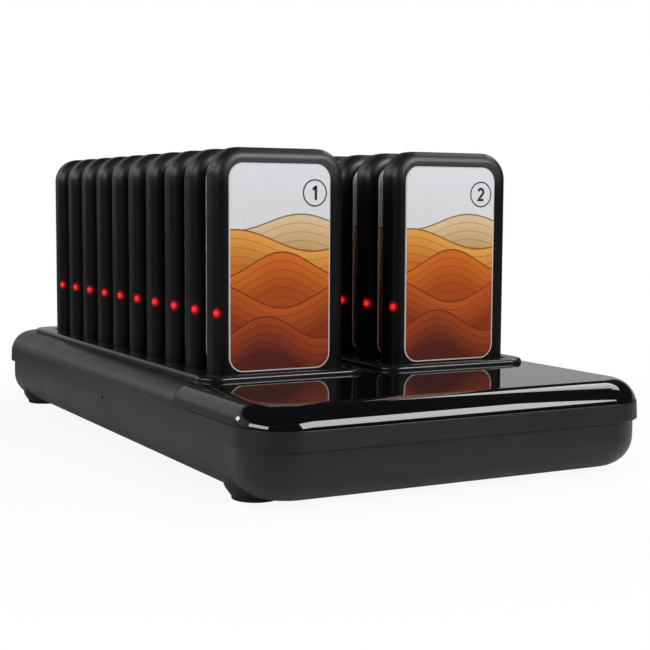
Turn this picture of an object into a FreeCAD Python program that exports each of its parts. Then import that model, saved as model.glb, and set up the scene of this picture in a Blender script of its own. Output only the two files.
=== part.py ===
import FreeCAD, Part
import math
import os
import Sketcher

# Slots in each column
ROWS = 10
# Sizes in millimetres, angles in degrees
SIZES = [
    # Base outline, from the photo
    ("column_side", "8.4"),
    ("base_width", "=2 * (column_pitch + column_side)"),
    ("front_margin", "73.5"),
    ("back_margin", "19.5"),
    ("base_depth", "=front_margin + tray_depth + back_margin"),
    ("base_corner", "23.0"),
    ("base_foot", "2.2"),
    ("lip_level", "22.6"),
    ("skirt_height", "7.5"),
    ("crease_level", "=lip_level + skirt_height"),
    ("deck_step", "8.7"),
    ("deck_level", "=crease_level + deck_step"),
    ("tray_step", "2.1"),
    ("tray_level", "=deck_level + tray_step"),
    ("overrun", "6.0"),
    # Lower case
    ("seam_inset", "1.8"),
    ("lower_width", "=base_width - 2 * seam_inset"),
    ("lower_depth", "=base_depth - 2 * seam_inset"),
    ("lower_corner", "=base_corner - seam_inset"),
    ("lower_rise", "=lip_level - base_foot"),
    ("bottom_round", "13.0"),
    ("skirt_wall", "2.6"),
    ("skirt_room_width", "=base_width - 2 * skirt_wall"),
    ("skirt_room_depth", "=base_depth - 2 * skirt_wall"),
    ("skirt_room_corner", "=base_corner - skirt_wall"),
    ("tongue_gap", "0.2"),
    ("tongue_wall", "1.4"),
    ("tongue_rise", "3.0"),
    ("tongue_top", "=lip_level + tongue_rise"),
    ("tongue_width", "=skirt_room_width - 2 * tongue_gap"),
    ("tongue_depth", "=skirt_room_depth - 2 * tongue_gap"),
    ("tongue_corner", "=skirt_room_corner - tongue_gap"),
    ("room_width", "=tongue_width - 2 * tongue_wall"),
    ("room_depth", "=tongue_depth - 2 * tongue_wall"),
    ("room_corner", "=tongue_corner - tongue_wall"),
    ("shelf_level", "12.0"),
    ("room_drop", "=tongue_top - shelf_level"),
    ("pit_inset", "6.6"),
    ("pit_width", "=room_width - 2 * pit_inset"),
    ("pit_end", "8.3"),
    ("pit_depth", "=room_depth - 2 * pit_end"),
    ("pit_corner", "=room_corner - pit_inset"),
    ("floor_level", "5.4"),
    ("pit_drop", "=shelf_level - floor_level"),
    # Pry notches under the seam
    ("notch_depth", "1.2"),
    ("notch_cut", "=notch_depth + skirt_wall"),
    ("notch_plane", "=lower_width / 2 - notch_depth"),
    ("notch_half", "1.75"),
    ("notch_tip", "=lip_level - notch_fall"),
    ("notch_fall", "3.0"),
    # Feet and screws
    ("foot_radius", "8.0"),
    ("foot_side", "16.3"),
    ("foot_x", "=base_width / 2 - foot_side"),
    ("foot_end", "32.5"),
    ("foot_y", "=base_depth / 2 - foot_end"),
    ("foot_top", "3.9"),
    ("seat_gap", "0.1"),
    ("seat_radius", "=foot_radius + seat_gap"),
    ("screw_side", "20.8"),
    ("screw_x", "=base_width / 2 - screw_side"),
    ("screw_end", "20.5"),
    ("screw_y", "=base_depth / 2 - screw_end"),
    ("tower_radius", "5.2"),
    ("tower_drop", "5.6"),
    ("tower_top", "=lip_level - tower_drop"),
    ("tower_rise", "=tower_top - floor_level"),
    ("head_level", "12.0"),
    ("head_radius", "3.2"),
    ("head_rise", "2.0"),
    ("head_foot", "=head_level - head_rise"),
    ("sink_radius", "3.5"),
    ("sink_drop", "=head_level + overrun"),
    ("shank_radius", "1.3"),
    ("shank_rise", "18.0"),
    ("pass_radius", "1.7"),
    ("pass_drop", "=tower_top - head_level"),
    ("boss_radius", "3.6"),
    ("boss_merge", "0.2"),
    ("boss_top", "=inner_level + boss_merge"),
    ("boss_rise", "=boss_top - tower_top"),
    ("thread_length", "13.0"),
    ("thread_top", "=tower_top + thread_length"),
    ("thread_drop", "=thread_top - tower_top + overrun"),
    # Charging board and its posts
    ("board_room", "3.7"),
    ("board_level", "=trough_foot - board_room"),
    ("board_thickness", "1.6"),
    ("board_top", "=board_level + board_thickness"),
    ("board_side", "9.0"),
    ("board_width", "=pit_width - 2 * board_side"),
    ("board_end", "3.0"),
    ("board_depth", "=trough_depth - 2 * board_end"),
    ("board_corner", "3.0"),
    ("board_middle", "=trough_middle"),
    ("post_radius", "3.0"),
    ("post_side", "7.0"),
    ("post_x", "=board_width / 2 - post_side"),
    ("post_end", "8.6"),
    ("post_front", "=board_middle - board_depth / 2 + post_end"),
    ("post_back", "=board_middle + board_depth / 2 - post_end"),
    ("post_rise", "=board_level - floor_level"),
    # Port bay in the rear wall
    ("bay_span", "46.0"),
    ("bay_left", "=bay_right - bay_span"),
    ("bay_side", "29.8"),
    ("bay_right", "=base_width / 2 - bay_side"),
    ("bay_recess", "9.5"),
    ("bay_face", "=base_depth / 2 - bay_recess"),
    ("bay_wall", "3.0"),
    ("bay_inner", "=bay_face - bay_wall"),
    ("bay_outer", "=base_depth / 2 + overrun"),
    ("bay_cover", "3.0"),
    ("bay_roof", "=lip_level - bay_cover"),
    ("bay_drop", "=bay_roof + overrun"),
    ("block_left", "=bay_left - bay_wall"),
    ("block_right", "=bay_right + bay_wall"),
    ("block_inset", "3.0"),
    ("block_back", "=base_depth / 2 - block_inset"),
    ("block_rise", "=lip_level - shelf_level"),
    ("port_level", "13.0"),
    ("port_cut", "=bay_wall + 2 * seat_gap"),
    ("port_plane", "=bay_inner - seat_gap"),
    # Power inlet
    ("jack_side", "11.0"),
    ("jack_x", "=bay_left + jack_side"),
    ("jack_hole", "4.1"),
    ("nose_radius", "4.0"),
    ("nose_reach", "0.8"),
    ("nose_tip", "=bay_face + nose_reach"),
    ("nose_length", "=nose_tip - bay_inner"),
    ("jack_half", "5.0"),
    ("jack_left", "=jack_x - jack_half"),
    ("jack_right", "=jack_x + jack_half"),
    ("jack_half_rise", "5.4"),
    ("jack_foot", "=port_level - jack_half_rise"),
    ("jack_top", "=port_level + jack_half_rise"),
    ("jack_length", "11.0"),
    ("jack_back", "=bay_inner - jack_length"),
    ("bore_radius", "3.1"),
    ("bore_depth", "9.5"),
    ("pin_radius", "1.0"),
    ("pin_length", "8.0"),
    ("bore_end", "=nose_tip - bore_depth"),
    # Power switch
    ("switch_side", "13.0"),
    ("switch_x", "=bay_right - switch_side"),
    ("switch_half", "6.5"),
    ("switch_half_rise", "4.3"),
    ("switch_left", "=switch_x - switch_half"),
    ("switch_right", "=switch_x + switch_half"),
    ("switch_foot", "=port_level - switch_half_rise"),
    ("switch_top", "=port_level + switch_half_rise"),
    ("bezel_half", "8.0"),
    ("bezel_half_rise", "5.6"),
    ("bezel_left", "=switch_x - bezel_half"),
    ("bezel_right", "=switch_x + bezel_half"),
    ("bezel_foot", "=port_level - bezel_half_rise"),
    ("bezel_top", "=port_level + bezel_half_rise"),
    ("bezel_thickness", "1.4"),
    ("bezel_face", "=bay_face + bezel_thickness"),
    ("switch_depth", "12.0"),
    ("switch_back", "=bay_face - switch_depth"),
    ("well_half", "5.8"),
    ("well_half_rise", "3.6"),
    ("well_left", "=switch_x - well_half"),
    ("well_right", "=switch_x + well_half"),
    ("well_foot", "=port_level - well_half_rise"),
    ("well_top", "=port_level + well_half_rise"),
    ("well_depth", "9.0"),
    ("rocker_half", "5.2"),
    ("rocker_length", "6.6"),
    ("rocker_foot", "=port_level - rocker_length / 2"),
    ("rocker_rim", "1.82"),
    ("rocker_dip", "0.9"),
    ("rocker_cheek", "0.2"),
    ("rocker_keel", "3.4"),
    ("rocker_keel_half", "2.4"),
    ("rocker_tilt", "10.0"),
    ("pivot_inset", "0.1"),
    ("pivot_y", "=bay_face - pivot_inset"),
    ("pivot_radius", "0.8"),
    ("pivot_length", "7.8"),
    ("pivot_foot", "=port_level - pivot_length / 2"),
    ("pivot_hole_foot", "=port_level - pivot_hole_length / 2"),
    ("pivot_hole", "1.1"),
    ("pivot_hole_length", "8.0"),
    # Upper case
    ("skirt_lean", "0.4"),
    ("skirt_cover", "1.5"),
    ("skirt_roof", "=crease_level - skirt_cover"),
    ("skirt_drop", "=skirt_roof - lip_level + overrun"),
    ("shoulder_inset", "0.5"),
    ("shoulder_radius", "10.7"),
    ("shoulder_share", "0.4"),
    ("dome_width", "=base_width - 2 * shoulder_inset"),
    ("dome_depth", "=base_depth - 2 * shoulder_inset"),
    ("dome_corner", "=base_corner - shoulder_inset"),
    ("dome_rise", "=shoulder_radius + shoulder_share"),
    ("dome_foot", "=deck_level - dome_rise"),
    ("panel_thickness", "2.4"),
    ("inner_width", "=dome_width - 2 * panel_thickness"),
    ("inner_depth", "=dome_depth - 2 * panel_thickness"),
    ("inner_corner", "=dome_corner - panel_thickness"),
    ("inner_radius", "=shoulder_radius - panel_thickness"),
    ("inner_level", "=deck_level - panel_thickness"),
    ("inner_rise", "=dome_rise - panel_thickness"),
    ("rear_room_inset", "8.1"),
    ("rear_room_width", "=dome_width - 2 * rear_room_inset"),
    ("panel_lip", "4.5"),
    ("rear_room_front", "=panel_back + panel_lip"),
    ("rear_room_back", "=dome_depth / 2 - rear_room_inset"),
    ("rear_room_depth", "=rear_room_back - rear_room_front"),
    ("rear_room_middle", "=(rear_room_back + rear_room_front) / 2"),
    ("rear_room_corner", "=dome_corner - rear_room_inset"),
    ("rear_room_drop", "10.0"),
    ("front_wall", "2.0"),
    ("front_roof", "=inner_level - front_wall"),
    ("front_room_inset", "10.3"),
    ("front_room_width", "=dome_width - 2 * front_room_inset"),
    ("front_room_front", "=front_room_inset - dome_depth / 2"),
    ("room_overlap", "30.0"),
    ("front_room_back", "=rear_room_front + room_overlap"),
    ("front_room_depth", "=front_room_back - front_room_front"),
    ("front_room_middle", "=(front_room_back + front_room_front) / 2"),
    ("front_room_corner", "=dome_corner - front_room_inset"),
    ("front_room_drop", "8.0"),
    # Touch panel
    ("panel_lap", "7.5"),
    ("panel_back", "=tray_front + panel_lap"),
    ("panel_round", "3.5"),
    ("panel_gap", "0.15"),
    ("panel_overrun", "20.5"),
    ("panel_reach", "=base_width / 2 + panel_overrun"),
    ("panel_front", "=0 - base_depth / 2 - panel_overrun"),
    ("panel_depth", "30.0"),
    ("panel_piece_back", "=panel_back - panel_gap"),
    ("panel_piece_foot", "=crease_level + panel_gap"),
    # Control board and aerial
    ("control_side", "22.0"),
    ("control_width", "=front_room_width - 2 * control_side"),
    ("control_margin", "27.5"),
    ("control_depth", "=front_margin - control_margin"),
    ("control_corner", "2.0"),
    ("control_inset", "8.7"),
    ("control_middle", "=front_room_front + control_inset + control_depth / 2"),
    ("control_thickness", "1.6"),
    ("control_level", "=inner_level - control_thickness"),
    ("control_gap", "0.4"),
    ("window_width", "=control_width + 2 * control_gap"),
    ("window_depth", "=control_depth + 2 * control_gap"),
    ("window_drop", "4.0"),
    ("can_width", "22.0"),
    ("can_depth", "16.0"),
    ("can_rise", "2.2"),
    ("can_level", "=control_level - can_rise"),
    ("wire", "1.2"),
    ("wire_lift", "1.5"),
    ("wire_level", "=crease_level + wire_lift"),
    ("wire_top", "=wire_level + wire"),
    ("wire_side", "12.2"),
    ("wire_left", "=wire_side - dome_width / 2"),
    ("wire_turn", "=wire_left + wire"),
    ("wire_lap", "3.6"),
    ("wire_right", "=wire_lap - control_width / 2"),
    ("wire_leg", "=wire_right - wire"),
    ("wire_offset", "1.6"),
    ("wire_front", "=control_middle - wire_offset"),
    ("wire_bend", "=wire_front + wire"),
    ("wire_run", "88.6"),
    ("wire_end", "=wire_front + wire_run"),
    ("wire_leg_rise", "=control_level - wire_top"),
    # Pagers
    ("tray_space", "7.2"),
    ("column_pitch", "=tray_width + tray_space"),
    ("column_share", "=column_pitch / 2"),
    ("slot_wall", "7.96"),
    ("row_pitch", "=slot_depth + slot_wall"),
    ("row_span", "=row_pitch * %d" % (ROWS - 1)),
    ("first_face", "=tray_front + tray_lead + slot_gap"),
    ("pocket_depth", "8.9"),
    ("pager_foot", "=deck_level - pocket_depth"),
    ("pager_width", "60.0"),
    ("pager_thickness", "14.0"),
    ("pager_rise", "104.0"),
    ("pager_top_corner", "12.0"),
    ("pager_cut", "4.0"),
    ("pager_edge", "4.8"),
    ("parting_gap", "0.2"),
    ("pager_parting", "=pager_edge + parting_gap"),
    ("half_reach", "=pager_width + 2 * overrun"),
    ("half_left", "=0 - half_reach / 2"),
    ("front_slab", "=pager_parting + overrun"),
    ("half_tall", "=pager_rise + 4 * overrun"),
    ("half_low", "=0 - 2 * overrun"),
    ("shell_wall", "1.7"),
    ("shell_rim", "5.0"),
    ("shell_skin", "1.8"),
    ("shell_step", "3.6"),
    ("wide_room_depth", "=pager_thickness - 2 * shell_step"),
    ("deep_room_depth", "=pager_thickness - 2 * shell_skin"),
    ("label_margin", "13.2"),
    ("label_width", "=pager_width - label_margin"),
    ("label_end", "18.0"),
    ("label_height", "=pager_rise - label_end"),
    ("label_corner", "6.5"),
    ("label_shift", "-1.28"),
    ("label_foot", "11.5"),
    ("label_middle", "=label_foot + label_height / 2"),
    ("label_proud", "0.55"),
    ("circuit_gap", "0.3"),
    ("circuit_width", "=pager_width - 2 * shell_wall - 2 * circuit_gap"),
    ("circuit_end", "20.0"),
    ("circuit_height", "=pager_rise - circuit_end"),
    ("circuit_corner", "2.5"),
    ("circuit_drop", "2.0"),
    ("circuit_middle", "=pager_rise / 2 - circuit_drop"),
    ("circuit_thickness", "1.0"),
    ("circuit_back", "=shell_step + circuit_thickness"),
    ("battery_side", "22.0"),
    ("battery_width", "=circuit_width - battery_side"),
    ("battery_end", "36.0"),
    ("battery_height", "=circuit_height - battery_end"),
    ("battery_corner", "2.0"),
    ("battery_drop", "12.0"),
    ("battery_middle", "=circuit_middle - battery_drop"),
    ("battery_room", "9.6"),
    ("battery_thickness", "=pager_thickness - battery_room"),
    ("motor_radius", "5.0"),
    ("motor_thickness", "3.0"),
    ("motor_x", "=circuit_width / 4"),
    ("motor_level", "=circuit_middle + circuit_height / 3"),
    ("lens_radius", "1.1"),
    ("lens_length", "2.2"),
    ("lens_side", "2.25"),
    ("lens_x", "=lens_side - pager_width / 2"),
    ("lens_y", "3.15"),
    ("lens_drop", "13.9"),
    ("lens_level", "=circuit_middle - lens_drop"),
    ("lens_turn", "57.0"),
    ("plate_x", "=pager_width / 5"),
    ("plate_half", "2.5"),
    ("plate_left", "=plate_x - plate_half"),
    ("plate_right", "=plate_x + plate_half"),
    ("plate_reach", "1.5"),
    ("plate_front", "=pager_thickness / 2 - plate_reach"),
    ("plate_back", "=pager_thickness / 2 + plate_reach"),
    # Slot trays
    ("tray_side", "8.0"),
    ("tray_width", "=slot_width + 2 * tray_side"),
    ("tray_front", "=front_margin - base_depth / 2"),
    ("tray_back", "=base_depth / 2 - back_margin"),
    ("tray_lead", "7.1"),
    ("tray_tail", "15.26"),
    ("tray_depth", "=tray_lead + slot_depth + row_span + tray_tail"),
    ("tray_middle", "=(tray_back + tray_front) / 2"),
    ("tray_corner", "10.0"),
    ("tray_round", "1.5"),
    ("tray_rise", "=tray_level - deck_level"),
    ("tray_cut_width", "=tray_width + 2 * panel_gap"),
    ("tray_cut_depth", "=tray_depth + 2 * panel_gap"),
    ("tray_cut_corner", "=tray_corner + panel_gap"),
    ("trough_side", "2.6"),
    ("trough_width", "=slot_width + 2 * trough_side"),
    ("trough_lead", "2.4"),
    ("trough_front", "=tray_front + trough_lead"),
    ("trough_tail", "11.6"),
    ("trough_back", "=tray_back - trough_tail"),
    ("trough_depth", "=trough_back - trough_front"),
    ("trough_middle", "=(trough_back + trough_front) / 2"),
    ("trough_corner", "4.0"),
    ("slot_floor", "3.0"),
    ("trough_foot", "=pager_foot - slot_floor"),
    ("trough_rise", "=deck_level - trough_foot"),
    ("deck_gap", "0.4"),
    ("hatch_width", "=trough_width + 2 * deck_gap"),
    ("hatch_depth", "=trough_depth + 2 * deck_gap"),
    ("hatch_corner", "=trough_corner + deck_gap"),
    ("hatch_top", "=deck_level + overrun"),
    ("hatch_drop", "16.0"),
    ("slot_gap", "0.6"),
    ("slot_width", "=pager_width + 2 * slot_gap"),
    ("slot_depth", "=pager_thickness + 2 * slot_gap"),
    ("slot_cut", "2.6"),
    ("slot_drop", "=tray_level - pager_foot"),
    ("blade_half", "1.5"),
    ("blade_left", "=plate_x - blade_half"),
    ("blade_right", "=plate_x + blade_half"),
    ("blade_middle", "=first_face + pager_thickness / 2"),
    ("blade_half_depth", "0.6"),
    ("blade_front", "=blade_middle - blade_half_depth"),
    ("blade_back", "=blade_middle + blade_half_depth"),
    ("blade_rise", "=pager_foot - board_top"),
    ("slit_gap", "0.5"),
    ("slit_left", "=blade_left - slit_gap"),
    ("slit_right", "=blade_right + slit_gap"),
    ("slit_front", "=blade_front - slit_gap"),
    ("slit_back", "=blade_back + slit_gap"),
    ("slit_drop", "=pager_foot - trough_foot + overrun"),
]
# Flats that stand for one quarter of each curve
CORNER_STEPS = 5
TRAY_STEPS = 3
PAGER_STEPS = 4
LABEL_STEPS = 3
FOOT_SIDES = 12
# Cuts that make three flats touching a round, as shares of its radius
WIDE_SHARE = 2 - math.sqrt(2)
NARROW_SHARE = math.tan(math.pi / 8) - math.tan(math.pi / 16)

doc = FreeCAD.newDocument("guest_pager_system")
sheet = doc.addObject("Spreadsheet::Sheet", "dims")
for row, (alias, value) in enumerate(SIZES, 1):
    sheet.set("A%d" % row, alias)
    sheet.setAlias("B%d" % row, alias)
for row, (alias, value) in enumerate(SIZES, 1):
    sheet.set("B%d" % row, value)
doc.recompute()
NODES = []


def number(where):
    """Value of an alias, of an alias with a leading minus, or of a list of weighted aliases."""
    if not where:
        return 0.0
    if isinstance(where, list):
        return sum(weight * number(alias) for weight, alias in where)
    value = float(sheet.get(where.lstrip("-")))
    return -value if where[0] == "-" else value


def formula(where):
    """The same as an expression on the sheet."""
    if isinstance(where, list):
        return " + ".join("%.9f * dims.%s" % term for term in where)
    return where.replace("-", "-dims.") if where[0] == "-" else "dims." + where


def drive(item, path, where):
    """Binds a property to the sheet."""
    if where:
        item.setExpression(path, formula(where))


def body(name):
    part = doc.addObject("PartDesign::Body", name)
    part.Label = name
    return part


def sketch(part, name, plane, level, across="", along=""):
    """Sketch on one of the body's origin planes, lifted along its normal."""
    draft = part.newObject("Sketcher::SketchObject", name)
    support = [p for p in part.Origin.OriginFeatures if p.Role == plane][0]
    draft.AttachmentSupport = (support, [""])
    draft.MapMode = "FlatFace"
    drive(draft, "AttachmentOffset.Base.z", level)
    drive(draft, "AttachmentOffset.Base.x", across)
    drive(draft, "AttachmentOffset.Base.y", along)
    return draft


def point(x, y):
    return FreeCAD.Vector(x, y, 0)


def size(draft, name, kind, where, alias):
    """Adds one dimension and binds it to the sheet."""
    index = draft.addConstraint(Sketcher.Constraint(kind, *where, number(alias)))
    draft.renameConstraint(index, name)
    drive(draft, "Constraints." + name, alias)


def turned(corner, count, share):
    """Cosine and sine of a step on the way round one quarter."""
    angle = math.pi / 2 * (corner + share / count)
    return math.cos(angle), math.sin(angle)


def ring(wide, deep, corner, count, inset=()):
    """Corners of a rounded rectangle whose quarters have count flats, set in by a weighted alias."""
    spots = []
    for quarter, (side, end) in enumerate(((1, 1), (-1, 1), (-1, -1), (1, -1))):
        for share in range(count + 1):
            c, d = turned(quarter, count, share)
            x = [(side / 2, wide), (c - side, corner)]
            y = [(end / 2, deep), (d - end, corner)]
            if inset:
                x.append((-c * inset[0], inset[1]))
                y.append((-d * inset[0], inset[1]))
            spots.append((x, y))
    return spots


def rounded(part, name, level, wide, deep, corner, across="", along="", plane="XY_Plane", count=1,
            inset=()):
    """Sketch of one rounded rectangle about its own origin."""
    draft = loops(part, name, plane, level, [ring(wide, deep, corner, count, inset)])
    drive(draft, "AttachmentOffset.Base.x", across)
    drive(draft, "AttachmentOffset.Base.y", along)
    return draft


def rods(part, name, level, radius, places, sides=8):
    """Sketch of regular polygons that stand for small round shapes."""
    outlines = []
    for x, y in places:
        outlines.append([])
        for i in range(sides):
            angle = 2 * math.pi * i / sides
            outlines[-1].append((weighted(x) + [(math.cos(angle), radius)],
                                 weighted(y) + [(math.sin(angle), radius)]))
    return loops(part, name, "XY_Plane", level, outlines)


def weighted(alias):
    if not alias:
        return []
    return [(-1, alias[1:])] if alias[0] == "-" else [(1, alias)]


def circles(part, name, level, radius, places, plane="XY_Plane"):
    """Equal circles at places given by pairs of aliases."""
    draft = sketch(part, name, plane, level)
    for i, (x, y) in enumerate(places):
        draft.addGeometry(Part.Circle(point(number(x), number(y)), FreeCAD.Vector(0, 0, 1), number(radius)))
        place(draft, i, 3, x, y)
        if i:
            draft.addConstraint(Sketcher.Constraint("Equal", 0, i))
    size(draft, "Radius", "Radius", (0,), radius)
    return draft


def place(draft, index, end, x, y):
    """Fixes one point of a sketch at a pair of places."""
    for axis, name, line, where in (("X", "DistanceX", -2, x), ("Y", "DistanceY", -1, y)):
        if abs(number(where)) > 1e-6:
            size(draft, "%s%d" % (axis, index), name, (-1, 1, index, end), where)
        else:
            draft.addConstraint(Sketcher.Constraint("PointOnObject", index, end, line))


def loops(part, name, plane, level, outlines):
    """Closed polygons whose corners are pairs of aliases."""
    draft = sketch(part, name, plane, level)
    for outline in outlines:
        first = draft.GeometryCount
        spots = [point(number(x), number(y)) for x, y in outline]
        for i, spot in enumerate(spots):
            draft.addGeometry(Part.LineSegment(spot, spots[(i + 1) % len(spots)]))
        for i, (x, y) in enumerate(outline):
            follow = first + (i + 1) % len(spots)
            draft.addConstraint(Sketcher.Constraint("Coincident", first + i, 2, follow, 1))
            place(draft, first + i, 1, x, y)
    return draft


def box_outline(left, right, front, back):
    return [(left, front), (right, front), (right, back), (left, back)]


def pad(part, draft, length, name, backward=False):
    doc.recompute()
    item = part.newObject("PartDesign::Pad", name)
    item.Profile = draft
    drive(item, "Length", length)
    item.Reversed = backward
    draft.Visibility = False
    doc.recompute()
    return item


def pocket(part, draft, length, name, outward=False):
    doc.recompute()
    before = part.Shape.Volume
    item = part.newObject("PartDesign::Pocket", name)
    item.Profile = draft
    drive(item, "Length", length)
    item.Reversed = outward
    draft.Visibility = False
    doc.recompute()
    if part.Shape.Volume > before - 0.01:
        raise ValueError("no material removed by " + name)
    return item


def soften(part, base, size_of, name, test, kind="Chamfer"):
    """Chamfer or fillet on the edges whose bounding box passes the test."""
    names = ["Edge%d" % (i + 1) for i, e in enumerate(base.Shape.Edges) if test(e.BoundBox)]
    item = part.newObject("PartDesign::" + kind, name)
    item.Base = (base, names)
    drive(item, "Size" if kind == "Chamfer" else "Radius", size_of)
    doc.recompute()
    return item


def flat_at(box, level):
    return abs(box.ZMin - level) < 0.01 and abs(box.ZMax - level) < 0.01


def round_off(part, base, radius, name, level, way):
    """Three flats, each touching the true round, along all edges at one level."""
    edge = number(level)
    turn = edge + way * WIDE_SHARE * number(radius)
    first = soften(part, base, [(WIDE_SHARE, radius)], name + "Wide", lambda b: flat_at(b, edge))
    return soften(part, first, [(NARROW_SHARE, radius)], name + "Narrow",
                  lambda b: flat_at(b, edge) or flat_at(b, turn))


def repeat(part, items, axis, length, count, name):
    """Linear pattern along one of the body's origin axes."""
    item = part.newObject("PartDesign::LinearPattern", name)
    item.Originals = items
    line = [p for p in part.Origin.OriginFeatures if p.Role == axis][0]
    item.Direction = (line, [""])
    drive(item, "Length", length)
    item.Occurrences = count
    part.Tip = item
    doc.recompute()
    return item


def merge(kind, name, base, tool):
    item = doc.addObject("Part::" + kind, name)
    item.Base = base
    item.Tool = tool
    doc.recompute()
    return item


def group(name, items):
    item = doc.addObject("Part::Compound", name)
    item.Links = items
    doc.recompute()
    return item


def node(item, name):
    item.Label = name
    NODES.append(item)
    return item


def four(x, y):
    return [(x, y), ("-" + x, y), ("-" + x, "-" + y), (x, "-" + y)]


def lower_case():
    part = body("lower_case")
    tub = pad(part, rounded(part, "TubOutline", "base_foot", "lower_width", "lower_depth",
                            "lower_corner", count=CORNER_STEPS), "lower_rise", "Tub")
    round_off(part, tub, "bottom_round", "BottomRound", "base_foot", 1)
    pad(part, rounded(part, "TongueOutline", "lip_level", "tongue_width", "tongue_depth",
                      "tongue_corner", count=CORNER_STEPS), "tongue_rise", "Tongue")
    pocket(part, rounded(part, "RoomOutline", "tongue_top", "room_width", "room_depth",
                         "room_corner", count=CORNER_STEPS), "room_drop", "Room")
    pocket(part, rounded(part, "PitOutline", "shelf_level", "pit_width", "pit_depth",
                         "pit_corner", count=2), "pit_drop", "Pit")
    pad(part, rods(part, "TowerOutline", "floor_level", "tower_radius",
                   four("screw_x", "screw_y")), "tower_rise", "Towers")
    posts = [(x, y) for x in ("post_x", "-post_x") for y in ("post_front", "board_middle", "post_back")]
    pad(part, rods(part, "PostOutline", "floor_level", "post_radius", posts, 4), "post_rise", "Posts")
    return part


def lower_cuts(part):
    """Port bay, screw passages, foot seats and pry notches."""
    block = [box_outline("block_left", "block_right", "bay_inner", "block_back")]
    pad(part, loops(part, "BayBlockOutline", "XY_Plane", "shelf_level", block), "block_rise", "BayBlock")
    bay = [box_outline("bay_left", "bay_right", "bay_face", "bay_outer")]
    pocket(part, loops(part, "BayOutline", "XY_Plane", "bay_roof", bay), "bay_drop", "Bay")
    pocket(part, rods(part, "SinkOutline", "head_level", "sink_radius",
                      four("screw_x", "screw_y")), "sink_drop", "Sinks")
    pocket(part, rods(part, "PassOutline", "tower_top", "pass_radius",
                      four("screw_x", "screw_y")), "pass_drop", "Passes")
    pocket(part, rods(part, "SeatOutline", "foot_top", "seat_radius",
                      four("foot_x", "foot_y"), FOOT_SIDES), "foot_top", "FootSeats")
    pocket(part, circles(part, "JackOutline", "-port_plane", "jack_hole", [("jack_x", "port_level")],
                         "XZ_Plane"), "port_cut", "JackHole")
    gate = [box_outline("switch_left", "switch_right", "switch_foot", "switch_top")]
    pocket(part, loops(part, "SwitchOutline", "XZ_Plane", "-port_plane", gate), "port_cut", "SwitchHole")
    corners = [("-notch_half", "lip_level"), ("notch_half", "lip_level"), ("", "notch_tip")]
    pocket(part, loops(part, "NotchLeft", "YZ_Plane", "-notch_plane", [corners]), "notch_cut",
           "PryNotchLeft")
    pocket(part, loops(part, "NotchRight", "YZ_Plane", "notch_plane", [corners]), "notch_cut",
           "PryNotchRight", True)


def stack(part, name, layers, wide, deep, corner):
    """Ruled loft through rounded rectangles given as level and inset."""
    drafts = [rounded(part, "%s_%d" % (name, i), level, wide, deep, corner, count=CORNER_STEPS,
                      inset=inset) for i, (level, inset) in enumerate(layers)]
    return loft(part, name, drafts)


def loft(part, name, drafts):
    doc.recompute()
    item = part.newObject("PartDesign::AdditiveLoft", name)
    item.Profile = drafts[0]
    item.Sections = drafts[1:]
    item.Ruled = True
    part.Tip = item
    for draft in drafts:
        draft.Visibility = False
    doc.recompute()
    return item


def dome(name, wide, deep, corner, rise, radius, top):
    """Block with the shoulder radius along its top edge."""
    part = body(name)
    base = pad(part, rounded(part, name + "_outline", "dome_foot", wide, deep, corner,
                             count=CORNER_STEPS), rise, name + "_block")
    round_off(part, base, radius, name + "_shoulder", top, -1)
    return part


def upper_shell():
    part = dome("upper_shell", "dome_width", "dome_depth", "dome_corner", "dome_rise",
                "shoulder_radius", "deck_level")
    stack(part, "Skirt", [("lip_level", ()), ("crease_level", (1, "skirt_lean"))], "base_width",
          "base_depth", "base_corner")
    pocket(part, rounded(part, "SkirtRoomOutline", "skirt_roof", "skirt_room_width", "skirt_room_depth",
                         "skirt_room_corner", count=CORNER_STEPS), "skirt_drop", "SkirtRoom")
    pocket(part, rounded(part, "RearRoomOutline", "inner_level", "rear_room_width", "rear_room_depth",
                         "rear_room_corner", "", "rear_room_middle", count=2), "rear_room_drop",
           "RearRoom")
    pocket(part, rounded(part, "FrontRoomOutline", "front_roof", "front_room_width", "front_room_depth",
                         "front_room_corner", "", "front_room_middle", count=2), "front_room_drop",
           "FrontRoom")
    pad(part, rods(part, "BossOutline", "tower_top", "boss_radius",
                   four("screw_x", "screw_y")), "boss_rise", "Bosses")
    pocket(part, rods(part, "ThreadOutline", "thread_top", "shank_radius",
                      four("screw_x", "screw_y")), "thread_drop", "Threads")
    for side, across in (("Left", "-column_share"), ("Right", "column_share")):
        hatch = rounded(part, "Hatch" + side + "Outline", "hatch_top", "hatch_width", "hatch_depth",
                        "hatch_corner", across, "trough_middle")
        pocket(part, hatch, "hatch_drop", "Hatch" + side)
    pocket(part, rounded(part, "WindowOutline", "inner_level", "window_width", "window_depth",
                         "control_corner", "", "control_middle"), "window_drop", "Window")
    return part


def panel_zone(name, back, foot, tray_wide, tray_deep, tray_corner):
    """Front block that the panel fills, notched round the two trays."""
    part = body(name)
    front = [box_outline("-panel_reach", "panel_reach", "panel_front", back)]
    block = pad(part, loops(part, name + "_outline", "XY_Plane", foot, front), "panel_depth",
                name + "_block")
    low = number(foot) + 0.01
    rear = number(back) - 0.01
    soften(part, block, "panel_round", name + "_corner", lambda b: b.ZMax < low and b.YMin > rear,
           "Fillet")
    for side, across in (("left", "-column_share"), ("right", "column_share")):
        tray = rounded(part, name + "_tray_" + side, "hatch_top", tray_wide, tray_deep, tray_corner,
                       across, "tray_middle", count=TRAY_STEPS)
        pocket(part, tray, "hatch_drop", name + "_notch_" + side)
    return part


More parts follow.
